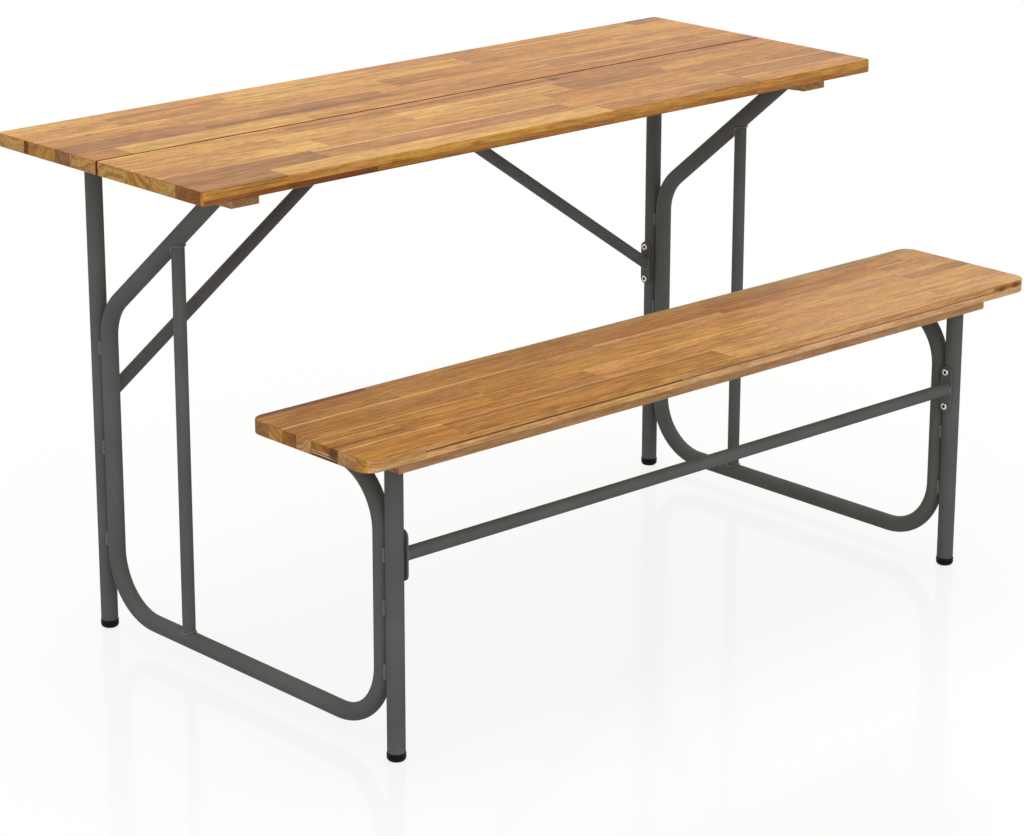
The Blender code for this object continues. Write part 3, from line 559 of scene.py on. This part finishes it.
def metal_material(name, color, dull, roughness):
    """Plated steel with turning marks and a few duller patches."""
    n = new_net(name)
    place = n.add("TexCoord").outputs["Object"]
    marks = n.noise(place, (500, 4500, 4500), 2.0)
    patch = n.fade(n.noise(place, (350, 350, 350), 3.0), 0.45, 0.7)
    rough = n.plus(n.times(patch, 0.18), roughness)
    return n.finish(Base_Color=n.mix(patch, color, dull), Metallic=1.0, Roughness=rough,
                    Normal=n.bump(marks, 0.2, 0.0001))


# Meshes

def ring_around(center, side, up, radius, count):
    turns = [2 * pi * (k + 0.5) / count for k in range(count)]
    return [center + radius * (cos(t) * side + sin(t) * up) for t in turns]


def skin_rings(rings, closed=False):
    """Joins each ring to the next, and the last to the first or caps at both ends."""
    mesh = bmesh.new()
    loops = [[mesh.verts.new(point) for point in ring] for ring in rings]
    pairs = list(zip(loops, loops[1:]))
    if closed:
        pairs.append((loops[-1], loops[0]))
    for lower, upper in pairs:
        for k, vertex in enumerate(lower):
            following = (k + 1) % len(lower)
            mesh.faces.new((vertex, lower[following], upper[following], upper[k]))
    if not closed:
        mesh.faces.new(loops[0])
        mesh.faces.new(loops[-1])
    bmesh.ops.recalc_face_normals(mesh, faces=mesh.faces)
    return mesh


def merge(parts):
    whole = parts[0]
    for part in parts[1:]:
        data = bpy.data.meshes.new("part")
        part.to_mesh(data)
        part.free()
        whole.from_mesh(data)
        bpy.data.meshes.remove(data)
    return whole


def use_second(mesh, wanted=None):
    """Gives a mesh, or the faces that are wanted, the second of a piece's materials."""
    for face in mesh.faces:
        if wanted is None or wanted(face):
            face.material_index = 1
    return mesh


def add_object(name, data):
    item = bpy.data.objects.new(name, data)
    bpy.context.scene.collection.objects.link(item)
    return item


def add_piece(name, mesh, materials, node, sharp=35):
    """Makes a piece from a bmesh. It stands for the CAD node and rides on the root body."""
    data = bpy.data.meshes.new(name)
    mesh.to_mesh(data)
    mesh.free()
    data.shade_smooth()
    data.set_sharp_from_angle(angle=radians(sharp))
    for material in materials:
        data.materials.append(material)
    item = add_object(name, data)
    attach(item, "root")
    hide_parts(node)
    return item


def weight_normals(item):
    """Keeps flat faces flat beside narrow rounded edges."""
    item.modifiers.new("normals", "WEIGHTED_NORMAL").keep_sharp = True


# Wooden boards

def rounded_outline(low, high, corners, z, steps=12):
    """A rectangle from low to high, in x and y, with its corners rounded."""
    points = []
    signs = ((1, 1), (-1, 1), (-1, -1), (1, -1))
    for turn, ((sx, sy), radius) in enumerate(zip(signs, corners)):
        center = Vector(((high[0] if sx > 0 else low[0]) - sx * radius,
                         (high[1] if sy > 0 else low[1]) - sy * radius, z))
        for k in range(steps + 1):
            angle = (turn + k / steps) * pi / 2
            points.append(center + radius * Vector((cos(angle), sin(angle), 0)))
    return points


def board_body(board, size):
    """A board round its own centre, with its own rounding on the rear, front and end edges."""
    rear, front, ends = (value * MM for value in board.edge)
    height = max(rear, front, ends)
    rings = []
    stages = [(1 - sin(t), height * (1 - cos(t)) - size.z / 2)
              for t in map(radians, (0, 22.5, 45, 67.5, 90))]
    stages += [(share, -z) for share, z in reversed(stages)]
    for share, z in stages:
        low = (-size.x / 2 + ends * share, -size.y / 2 + front * share)
        high = (size.x / 2 - ends * share, size.y / 2 - rear * share)
        corners = [max(radius * MM - height * share, 0.0003) for radius in board.corners]
        rings.append(rounded_outline(low, high, corners, z))
    return skin_rings(rings)


def cut_across(mesh, faces, place, normal):
    """Cuts the given faces along a plane."""
    edges = {edge for face in faces for edge in face.edges}
    verts = {vertex for face in faces for vertex in face.verts}
    bmesh.ops.bisect_plane(mesh, geom=[*verts, *edges, *faces], dist=1e-6, plane_co=place,
                           plane_no=normal)
    mesh.normal_update()


def is_flat(face):
    return abs(face.normal.z) > FLAT_RISE


def flat_faces(mesh, low_y, high_y):
    return [f for f in mesh.faces if is_flat(f) and low_y < f.calc_center_median().y < high_y]


def front_faces(mesh):
    return [f for f in mesh.faces if f.normal.y < -FRONT_FACING and not is_flat(f)]


def left_faces(mesh):
    return [f for f in mesh.faces if f.normal.x < -LEFT_FACING and not is_flat(f)]


def stave_cells(board, size):
    """The staves of a board round its own centre, as x and y limits with the stave. Boards that
    run along Y are laid out along X here."""
    cells = []
    rear = size.y / 2
    for depth, staves in board.rows:
        front = max(size.y / 2 - depth * MM, -size.y / 2)
        left = -size.x / 2
        for stave in staves:
            right = min(-size.x / 2 + stave.end * MM, size.x / 2)
            cells.append((left, right, front, rear, stave))
            left = right
        rear = front
    return cells


def block_cells(blocks, start, direction):
    """Blocks of an edge with their limits, worked out from their ends."""
    ends = [start + direction * piece.end * MM for piece in blocks]
    return list(zip([start, *ends], ends, blocks))


def name_layers(mesh):
    """The attributes that the wood material reads."""
    layers = {name: mesh.faces.layers.float_vector.new(name)
              for name in ("pith", "reach", "edges", "knot", "sap", "dark")}
    layers["knot_size"] = mesh.faces.layers.float.new("knot_size")
    return layers, mesh.loops.layers.float_color.new("tone")


def chance(*numbers):
    """A number from 0 to 1 that is always the same for the same numbers."""
    value = sin(sum(number * factor for number, factor in zip(numbers, (12.9898, 78.233, 37.719))))
    return abs(value * 43758.5453) % 1.0


def cut_cells(mesh, cells, front_cells, left_cells, top):
    """Cuts the faces along every joint that shows. top is the height of the upper face."""
    for front in {cell[2] for cell in cells}:
        cut_across(mesh, flat_faces(mesh, -FAR, FAR), (0, front, 0), (0, 1, 0))
    for _, right, front, rear, _ in cells:
        cut_across(mesh, flat_faces(mesh, front, rear), (right, 0, 0), (1, 0, 0))
    for found, block_list, axis in ((front_faces, front_cells, (1, 0, 0)),
                                    (left_faces, left_cells, (0, 1, 0))):
        for start, end, piece in block_list:
            place = Vector(axis) * end
            cut_across(mesh, found(mesh), place, axis)
            low, high = min(start, end), max(start, end)
            for depth, _ in piece.layers[:-1]:
                inside = [f for f in found(mesh)
                          if low < f.calc_center_median().dot(Vector(axis)) < high]
                cut_across(mesh, inside, (0, 0, top - depth * MM), (0, 0, 1))


def build_board(board, index):
    low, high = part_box(board.node)
    size = high - low
    middle = (low + high) / 2
    turned = board.along == "Y"
    if turned:
        size, middle = size.yxz, middle.yxz
    mesh = board_body(board, size)
    mesh.normal_update()
    cells = stave_cells(board, size)
    front_cells = block_cells(board.front, -size.x / 2, 1)
    left_cells = block_cells(board.left, size.y / 2, -1)
    cut_cells(mesh, cells, front_cells, left_cells, size.z / 2)
    painter = Painter(middle, size, index, board.grain, *name_layers(mesh))
    fronts, lefts = set(front_faces(mesh)), set(left_faces(mesh))
    for face in mesh.faces:
        spot = face.calc_center_median()
        if face in lefts and left_cells:
            painter.paint_block(face, find_block(left_cells, spot.y), spot, "left")
        elif face in fronts and front_cells:
            painter.paint_block(face, find_block(front_cells, spot.x), spot, "front")
        else:
            painter.paint_stave(face, cells, spot)
    for vertex in mesh.verts:
        spot = middle + vertex.co
        vertex.co = spot.yxz if turned else spot
    if turned:
        bmesh.ops.reverse_faces(mesh, faces=mesh.faces)
    material = wood_material("acacia_" + board.node, board.along)
    weight_normals(add_piece("wood_" + board.node, mesh, [material], board.node, sharp=60))


def find_block(cells, along):
    """The block at a place along an edge, with its number and its limits."""
    for number, (start, end, piece) in enumerate(cells):
        if min(start, end) <= along <= max(start, end):
            break
    return number, start, end, piece


@dataclass
class Painter:
    """Writes each stave's colours, and the facts that its grain needs, on its faces."""
    middle: Vector
    size: Vector
    index: int
    grain: float
    layers: dict
    tone_layer: object

    def put(self, face, **values):
        for name, value in values.items():
            face[self.layers[name]] = value

    def put_knot(self, face, knot):
        if knot:
            x, y, z, radius = knot
            corner = self.middle + Vector((-self.size.x, self.size.y, self.size.z)) / 2
            self.put(face, knot=corner + Vector((x, -y, -z)) * MM, knot_size=radius * MM)
        else:
            self.put(face, knot=(FAR, FAR, FAR), knot_size=0.01)

    def strip(self, origin, limits):
        """A strip's middle, half its width and its strength. Its limits go down from origin."""
        if limits is None:
            return FAR, 0, 0
        start, stop, strength = (*limits, STRIP_STRENGTH)[:3]
        return origin - (start + stop) / 2 * MM, (stop - start) / 2 * MM, strength

    def paint_stave(self, face, cells, spot):
        inside = spot * INWARD
        for number, (left, right, front, rear, stave) in enumerate(cells):
            if left <= inside.x <= right and front <= inside.y <= rear:
                break
        x, y, z = self.middle
        seed = SEED_SPREAD * chance(self.index, number, 1) + BOARD_SEED_STEP * self.index
        sway = chance(self.index, number, 2) * PITH_SWAY - PITH_SWAY / 2
        depth = PITH_NEAR + PITH_RANGE * chance(self.index, number, 3)
        if chance(self.index, number, 4) > 0.5:
            depth = -depth
        rear_y = y + rear
        self.put(face, pith=(seed, y + (front + rear) / 2 + sway, z + depth),
                 reach=(stave.streak * self.grain, x + left, x + right),
                 edges=(rear_y, y + front, 0),
                 sap=self.strip(rear_y, stave.sap), dark=self.strip(rear_y, stave.dark))
        self.put_knot(face, stave.knot)
        for loop in face.loops:
            share = min(max((loop.vert.co.x - left) / (right - left), 0.0), 1.0)
            loop[self.tone_layer] = [a + (b - a) * share for a, b in zip(stave.left, stave.right)]

    def paint_block(self, face, found, spot, side):
        number, start, end, piece = found
        seed = SEED_SPREAD * chance(self.index, number, 7) + BLOCK_SEED_STEP * number
        down = (self.size.z / 2 - spot.z) / MM
        x, y, z = self.middle
        tone = next((tone for depth, tone in piece.layers if down <= depth), piece.layers[-1][1])
        if side == "left":
            pith_y = y + (start + end) / 2 - piece.pith[0] * MM
            reach = (END_STREAK, FAR, FAR)
            edges = (y + start, y + end, 0)
        else:
            pith_y = y + FRONT_PITH_Y
            reach = (FRONT_STREAK, x + start, x + end)
            edges = (FAR, FAR, 0)
        self.put(face, pith=(seed, pith_y, z + piece.pith[1] * MM), reach=reach, edges=edges,
                 dark=self.strip(z + self.size.z / 2, piece.dark))
        self.put_knot(face, piece.knot)
        for loop in face.loops:
            loop[self.tone_layer] = tone


# Tubes and welds

def bend_path(points, radii):
    """Rounds the inner corners of a line of points with arcs of the given radii."""
    path = [points[0]]
    for before, corner, after, radius in zip(points, points[1:], points[2:], radii):
        inward = (before - corner).normalized()
        outward = (after - corner).normalized()
        half = acos(inward.dot(outward)) / 2
        center = corner + (inward + outward).normalized() * radius / sin(half)
        start = corner + inward * radius / tan(half) - center
        end = corner + outward * radius / tan(half) - center
        sweep = pi - 2 * half
        steps = max(2, ceil(sweep / BEND_STEP))
        for k in range(steps + 1):
            share = k / steps
            toward = sin((1 - share) * sweep) * start + sin(share * sweep) * end
            path.append(center + toward / sin(sweep))
    path.append(points[-1])
    return path


def slide_to_plane(points, direction, on_plane, normal):
    return [p + direction * ((on_plane - p).dot(normal) / direction.dot(normal)) for p in points]


def tube_rings(path, side, radius, cuts):
    """Rings along a path that lies square to side. cuts holds the normals of the end planes."""
    rings = []
    last = len(path) - 1
    for k, point in enumerate(path):
        back = (point - path[max(k - 1, 0)]).normalized()
        forward = (path[min(k + 1, last)] - point).normalized()
        along = (back + forward).normalized()
        stretch = 1 / along.dot(forward if k < last else back)
        rings.append(ring_around(point, side, along.cross(side) * stretch, radius, TUBE_SIDES))
    for end, inner, cut in ((0, 1, cuts[0]), (last, last - 1, cuts[1])):
        along = (path[inner] - path[end]).normalized()
        rings[end] = slide_to_plane(rings[end], along, path[end], cut or along)
    return rings


def tube_mesh(path, side, radius, wall, cuts=(None, None)):
    outer = tube_rings(path, side, radius, cuts)
    inner = tube_rings(path, side, radius - wall, cuts)
    return skin_rings(outer + inner[::-1], closed=True)


def ripple(phase, low, rise):
    """How full a bead is. Each of its ripples swells at once and then fades."""
    return low + rise * (1 - phase % 1.0) ** 0.5


def weld_ring(loop, radius, ripples):
    """A weld bead along a closed loop of points, laid down in ripples."""
    rings = []
    middle = sum(loop, Vector()) / len(loop)
    for k, point in enumerate(loop):
        along = (loop[(k + 1) % len(loop)] - loop[k - 1]).normalized()
        outward = point - middle
        outward = (outward - along * outward.dot(along)).normalized()
        size = radius * ripple(k * ripples / len(loop), 0.78, 0.32)
        rings.append(ring_around(point, outward, along.cross(outward), size, WELD_SIDES))
    return use_second(skin_rings(rings, closed=True))


def bead_mesh(x, y, z, outward):
    """An upright, rippled weld bead with rounded ends."""
    rings = []
    for k in range(BEAD_STEPS + 1):
        share = k / BEAD_STEPS
        taper = min(1.0, 3.2 * sqrt(share * (1 - share)) + 0.05)
        size = BEAD_RADIUS * taper * ripple(share * BEAD_RIPPLES, 0.84, 0.22)
        sway = BEAD_SWAY * sin(share * 17.0 + z * 90.0)
        center = Vector((x, y + sway, z + BEAD_LENGTH * (share - 0.5)))
        rings.append(ring_around(center, X_AXIS * outward, Y_AXIS, size, BEAD_SIDES))
    return use_second(skin_rings(rings))


def plate_weld(center, side, up, reach_side, reach_up, ripples):
    """A weld bead round a tube's end where it meets a flat plate."""
    turns = [2 * pi * k / TUBE_SIDES for k in range(TUBE_SIDES)]
    loop = [center + side * reach_side * cos(t) + up * reach_up * sin(t) for t in turns]
    return weld_ring(loop, PLATE_WELD_RADIUS, ripples)


def build_side_tube(side, steel):
    x = SIDES[side] * FRAME_X
    corners = ((DIAGONAL_TOP_Y, TABLE_PLATE_UNDER - FIT), (REAR_TUBE_Y, KNEE_HEIGHT),
               (REAR_TUBE_Y, RUN_HEIGHT), (FRONT_TUBE_Y, RUN_HEIGHT), (FRONT_TUBE_Y, ARM_HEIGHT),
               (ARM_END_Y, ARM_HEIGHT))
    path = bend_path([Vector((x, y, z)) for y, z in corners], BENDS)
    parts = [tube_mesh(path, X_AXIS, TUBE_RADIUS, TUBE_WALL, (Z_AXIS, None))]
    for leg_y, tube_y, heights in ((REAR_LEG_Y, REAR_TUBE_Y, REAR_BEADS),
                                   (FRONT_LEG_Y, FRONT_TUBE_Y, FRONT_BEADS)):
        middle = (leg_y + tube_y) / 2
        parts += [bead_mesh(x + sign * BEAD_OFFSET, middle, z, sign)
                  for z in heights for sign in (-1, 1)]
    slope = atan2(TABLE_PLATE_UNDER - KNEE_HEIGHT, REAR_TUBE_Y - DIAGONAL_TOP_Y)
    top = Vector((x, DIAGONAL_TOP_Y, TABLE_PLATE_UNDER - FIT - LEG_WELD_LIFT))
    parts.append(plate_weld(top, X_AXIS, Y_AXIS, TUBE_RADIUS, TUBE_RADIUS / sin(slope), 20))
    add_piece("steel_side_tube_" + side, merge(parts), steel, "side_tube_" + side)


def build_leg(node, x, y, top, steel):
    path = [Vector((x, y, CAP_HEIGHT + FIT)), Vector((x, y, top))]
    end = Vector((x, y, top - LEG_WELD_LIFT))
    weld = plate_weld(end, X_AXIS, Y_AXIS, TUBE_RADIUS, TUBE_RADIUS, 18)
    tube = tube_mesh(path, X_AXIS, TUBE_RADIUS, TUBE_WALL)
    add_piece("steel_" + node, merge([tube, weld]), steel, node)


def strut_loop(center, radius, neck, upper):
    """Points round the strut where it meets the floor run or the diagonal, neck short of it."""
    slope = atan2(TABLE_PLATE_UNDER - FIT - KNEE_HEIGHT, REAR_TUBE_Y - DIAGONAL_TOP_Y)
    points = []
    for point in ring_around(Vector((0, 0, 0)), X_AXIS, Y_AXIS, radius, TUBE_SIDES):
        reach = sqrt(max((TUBE_RADIUS + FIT) ** 2 - point.x ** 2, 0.0))
        y = center.y + point.y
        if upper:
            z = KNEE_HEIGHT + (REAR_TUBE_Y - y) * tan(slope) - reach / cos(slope) - neck
        else:
            z = RUN_HEIGHT + reach + neck
        points.append(Vector((center.x + point.x, y, z)))
    return points


def build_strut(side, steel):
    center = Vector((SIDES[side] * FRAME_X, STRUT_Y, 0))
    bore = THIN_RADIUS - THIN_WALL
    rings = [strut_loop(center, radius, 0, upper) for radius, upper in
             ((THIN_RADIUS, False), (THIN_RADIUS, True), (bore, True), (bore, False))]
    welds = [weld_ring(strut_loop(center, THIN_RADIUS + STRUT_WELD_OUT, STRUT_WELD_IN, upper),
                       WELD_RADIUS, 11) for upper in (False, True)]
    add_piece("steel_strut_" + side, merge([skin_rings(rings, closed=True), *welds]), steel,
              "strut_" + side)


def build_brace(side, steel):
    sign = SIDES[side]
    low = Vector((sign * THIN_END_X, REAR_LEG_Y, BRACE_LOW_HEIGHT))
    high = Vector((sign * BRACE_TOP_OFFSET, REAR_LEG_Y, TABLE_PLATE_UNDER - FIT))
    along = (high - low).normalized()
    parts = [tube_mesh([low, high], Y_AXIS, THIN_RADIUS, THIN_WALL, (X_AXIS, Z_AXIS)),
             plate_weld(low - X_AXIS * sign * THIN_WELD_LIFT, Y_AXIS, Z_AXIS, THIN_RADIUS,
                        THIN_RADIUS / abs(along.x), 18),
             plate_weld(high - Z_AXIS * THIN_WELD_LIFT, Y_AXIS, X_AXIS, THIN_RADIUS,
                        THIN_RADIUS / along.z, 20)]
    add_piece("steel_brace_" + side, merge(parts), steel, "brace_" + side)


def build_cross_bar(steel):
    ends = {sign: Vector((sign * THIN_END_X, FRONT_LEG_Y, BAR_HEIGHT)) for sign in (-1, 1)}
    parts = [tube_mesh(list(ends.values()), Y_AXIS, THIN_RADIUS, THIN_WALL)]
    parts += [plate_weld(end - X_AXIS * sign * THIN_WELD_LIFT, Y_AXIS, Z_AXIS, THIN_RADIUS,
                         THIN_RADIUS, 16) for sign, end in ends.items()]
    add_piece("steel_cross_bar", merge(parts), steel, "cross_bar")


# Plates, screws, caps

def obround(length, width, z, steps=14):
    """A long outline with two round ends."""
    points = []
    for sign in (1, -1):
        center = Vector((sign * (length - width) / 2, 0, z))
        for k in range(steps + 1):
            angle = (k / steps - 0.5) * pi + (pi if sign < 0 else 0)
            points.append(center + width / 2 * Vector((cos(angle), sin(angle), 0)))
    return points


def build_bolt_plate(node, sign, y, z, steel):
    """A plate with round ends and softened edges."""
    center = Vector((sign * BOLT_PLATE_X, y, z))
    half = PLATE_THICKNESS / 2
    mesh = skin_rings([obround(BOLT_PLATE_LENGTH, BOLT_PLATE_WIDTH, level)
                       for level in (-half, half)])
    for vertex in mesh.verts:
        along, across, up = vertex.co
        vertex.co = center + Z_AXIS * along + Y_AXIS * across + X_AXIS * up
    bmesh.ops.recalc_face_normals(mesh, faces=mesh.faces)
    item = add_piece("steel_" + node, mesh, steel, node)
    bevel = item.modifiers.new("edges", "BEVEL")
    bevel.width = BOLT_PLATE_BEVEL
    bevel.segments = 3
    bevel.limit_method = "ANGLE"
    bevel.angle_limit = radians(50)
    weight_normals(item)


def hexagon_ring(center, side, up, width):
    """A hexagon, width across its flats, with as many points as the screw's rings."""
    points = []
    for k in range(BOLT_SIDES):
        angle = 2 * pi * (k + 0.5) / BOLT_SIDES
        reach = width / 2 / cos((angle + pi / 6) % (pi / 3) - pi / 6)
        points.append(center + reach * (cos(angle) * side + sin(angle) * up))
    return points


def build_bolt(node, seat, outward, materials):
    """A low socket head screw with a rounded rim and a deep hexagon socket, whose faces take the
    black plastic as painted shade.
    """
    side = Y_AXIS
    up = outward.cross(side)
    radius, height = BOLT_HEAD_RADIUS, BOLT_HEAD_HEIGHT
    profile = [(BOLT_TIP_RADIUS, -BOLT_LENGTH), (BOLT_RADIUS, BOLT_CHAMFER - BOLT_LENGTH),
               (BOLT_RADIUS, 0), (radius * 0.97, 0), (radius, 0.0003), (radius, height * 0.30)]
    profile += [(radius - BOLT_RIM * (1 - cos(t)), height * (0.30 + 0.45 * sin(t)))
                for t in map(radians, (25, 50, 75, 90))]
    profile += [(radius * 0.64, height * 0.76), (radius * 0.52, height * 0.72)]
    rings = [ring_around(seat + outward * z, side, up, r, BOLT_SIDES) for r, z in profile]
    rings += [hexagon_ring(seat + outward * z, side, up, width)
              for width, z in ((BOLT_SOCKET, height * 0.66), (BOLT_SOCKET, -height * 0.10),
                               (BOLT_SOCKET * 0.3, -height * 0.25))]

    # Faces inside the socket get the black plastic: painted shade deep in the recess.
    def gets_painted_socket_shade(face):
        offsets = [vertex.co - seat for vertex in face.verts]
        return all(offset.cross(outward).length < BOLT_SOCKET * 0.6
                   and offset.dot(outward) > -SOCKET_DEPTH for offset in offsets)

    mesh = use_second(skin_rings(rings), gets_painted_socket_shade)
    add_piece("nickel_" + node, mesh, materials, node)


def build_foot_cap(node, x, y, plastic):
    """A moulded foot with a collar, a groove and a rounded sole."""
    radius, height, sole, edge = CAP_RADIUS, CAP_HEIGHT, CAP_SOLE_RADIUS, CAP_EDGE
    profile = [(sole * 0.4, 0.0004), (sole * 0.5, 0.0), (sole, 0.0)]
    profile += [(sole + (radius - sole) * sin(t), edge * (1 - cos(t)))
                for t in map(radians, range(10, 91, 10))]
    profile += [(radius, edge + 0.0006), (radius * 0.93, edge + 0.0010),
                (radius * 0.93, edge + 0.0021), (radius * 0.99, edge + 0.0025),
                (radius, edge + 0.0029), (radius, height - 0.0010),
                (radius * 0.985, height - 0.0004), (radius * 0.95, height),
                (CAP_STEM_RADIUS, height), (CAP_STEM_RADIUS, height + CAP_STEM - 0.001),
                (CAP_STEM_TIP_RADIUS, height + CAP_STEM)]
    rings = [ring_around(Vector((x, y, z)), X_AXIS, Y_AXIS, r, TUBE_SIDES) for r, z in profile]
    add_piece("plastic_" + node, skin_rings(rings), [plastic], node)


# The whole

def build_all():
    steel = [steel_material("powder_coat", 0.52, 0.05), steel_material("coated_weld", 0.20, 0.45)]
    plastic = plastic_material()
    # Screws get the nickel, and the black plastic in their sockets as painted shade.
    nickel = [metal_material("nickel_plate", NICKEL, NICKEL_DULL, 0.22), plastic]
    zinc = metal_material("zinc_plate", ZINC, ZINC_DULL, 0.30)
    for index, board in enumerate(BOARDS):
        build_board(board, index)
    for side, sign in SIDES.items():
        x = sign * FRAME_X
        build_side_tube(side, steel)
        build_leg("rear_leg_" + side, x, REAR_LEG_Y, TABLE_PLATE_UNDER - FIT, steel)
        build_leg("front_leg_" + side, x, FRONT_LEG_Y, BENCH_PLATE_UNDER - FIT, steel)
        build_strut(side, steel)
        build_brace(side, steel)
        build_foot_cap("rear_foot_cap_" + side, x, REAR_LEG_Y, plastic)
        build_foot_cap("front_foot_cap_" + side, x, FRONT_LEG_Y, plastic)
        for name, y, z in (("brace_" + side, REAR_LEG_Y, BRACE_LOW_HEIGHT),
                           ("bar_" + side, FRONT_LEG_Y, BAR_HEIGHT)):
            build_bolt_plate(name + "_plate", sign, y, z, steel)
            for k, shift in enumerate((-1, 1)):
                seat = Vector((sign * THIN_END_X, y, z + shift * BOLT_SPACING / 2))
                build_bolt(f"{name}_bolt_{k + 1}", seat, -sign * X_AXIS, nickel)
    build_cross_bar(steel)
    finishes = {"screw": zinc, "arm_plug": plastic, "rear_leg_plate": steel[0],
                "front_leg_plate": steel[0], "diagonal_plate": steel[0],
                "brace_head_plate": steel[0]}
    for name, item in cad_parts.items():
        for start, material in finishes.items():
            if name.startswith(start):
                for slot in item.material_slots:
                    slot.material = material


# Floor, light and camera

FLOOR_SIZE = 60.0
FLOOR_WARMTH = (1.0, 0.996, 0.990, 1)
FLOOR_BOUNCE = (0.58, 0.58, 0.58, 1)
FLOOR_GLOW = 0.85
FLOOR_GLOSS = 0.04
FLOOR_ROUGHNESS = 0.12
SKY_STRENGTH = 0.55
KEY_STRENGTH = 1.0
KEY_DIRECTION = (-0.15, -0.20, -1.0)
KEY_ANGLE = 42
FILL_STRENGTH = 0.95
FILL_DIRECTION = (0.45, 0.70, -0.70)
FILL_ANGLE = 80
CAMERA_PLACE = (-3.0817, -3.3412, 1.7365)
CAMERA_HEADING = radians(42.0217)
CAMERA_TILT = radians(17.0272)
CAMERA_LENS = 112.8
CAMERA_SHIFT = (0.0165, -0.044)


def seen_rays(n):
    """1 for rays that show the background: from the camera, a glossy surface or glass."""
    path = n.add("LightPath").outputs
    mirrored = n.math("MAXIMUM", path["Is Glossy Ray"], path["Is Transmission Ray"])
    return n.math("MAXIMUM", path["Is Camera Ray"], mirrored)


def build_floor():
    """A white floor that shows soft shadows and a faint reflection."""
    mesh = bpy.data.meshes.new("floor")
    half = FLOOR_SIZE / 2
    corners = [(-half, -half, 0), (half, -half, 0), (half, half, 0), (-half, half, 0)]
    mesh.from_pydata(corners, [], [(0, 1, 2, 3)])
    n = new_net("floor_white")
    matt = n.add("BsdfDiffuse", {"Color": WHITE})
    glow = n.add("Emission", {"Color": FLOOR_WARMTH, "Strength": 1.0})
    gloss = n.add("BsdfGlossy", {"Color": WHITE, "Roughness": FLOOR_ROUGHNESS})
    bright = n.blend(FLOOR_GLOSS, n.blend(FLOOR_GLOW, matt, glow), gloss)
    thrown = n.add("BsdfDiffuse", {"Color": FLOOR_BOUNCE})
    n.show(n.blend(seen_rays(n), thrown, bright))
    mesh.materials.append(n.owner)
    floor = add_object("floor", mesh)


def add_sun(name, direction, angle, strength):
    lamp = bpy.data.lights.new(name, "SUN")
    lamp.angle = radians(angle)
    lamp.energy = strength
    item = add_object(name, lamp)
    item.rotation_euler = Vector(direction).to_track_quat("-Z", "Y").to_euler()


def build_light():
    world = bpy.data.worlds.new("studio")
    bpy.context.scene.world = world
    world.use_nodes = True
    n = Net(world)
    soft = n.add("Background", {"Color": WHITE, "Strength": SKY_STRENGTH})
    white = n.add("Background", {"Color": WHITE, "Strength": 1.0})
    n.show(n.blend(seen_rays(n), soft, white))
    add_sun("key", KEY_DIRECTION, KEY_ANGLE, KEY_STRENGTH)
    add_sun("fill", FILL_DIRECTION, FILL_ANGLE, FILL_STRENGTH)


def build_camera():
    data = bpy.data.cameras.new("camera")
    data.lens = CAMERA_LENS
    data.shift_x, data.shift_y = CAMERA_SHIFT
    camera = add_object("camera", data)
    camera.location = CAMERA_PLACE
    camera.rotation_euler = (pi / 2 - CAMERA_TILT, 0, -CAMERA_HEADING)
    bpy.context.scene.camera = camera


bpy.context.scene.view_settings.view_transform = "Standard"
build_all()
build_floor()
build_light()
build_camera()
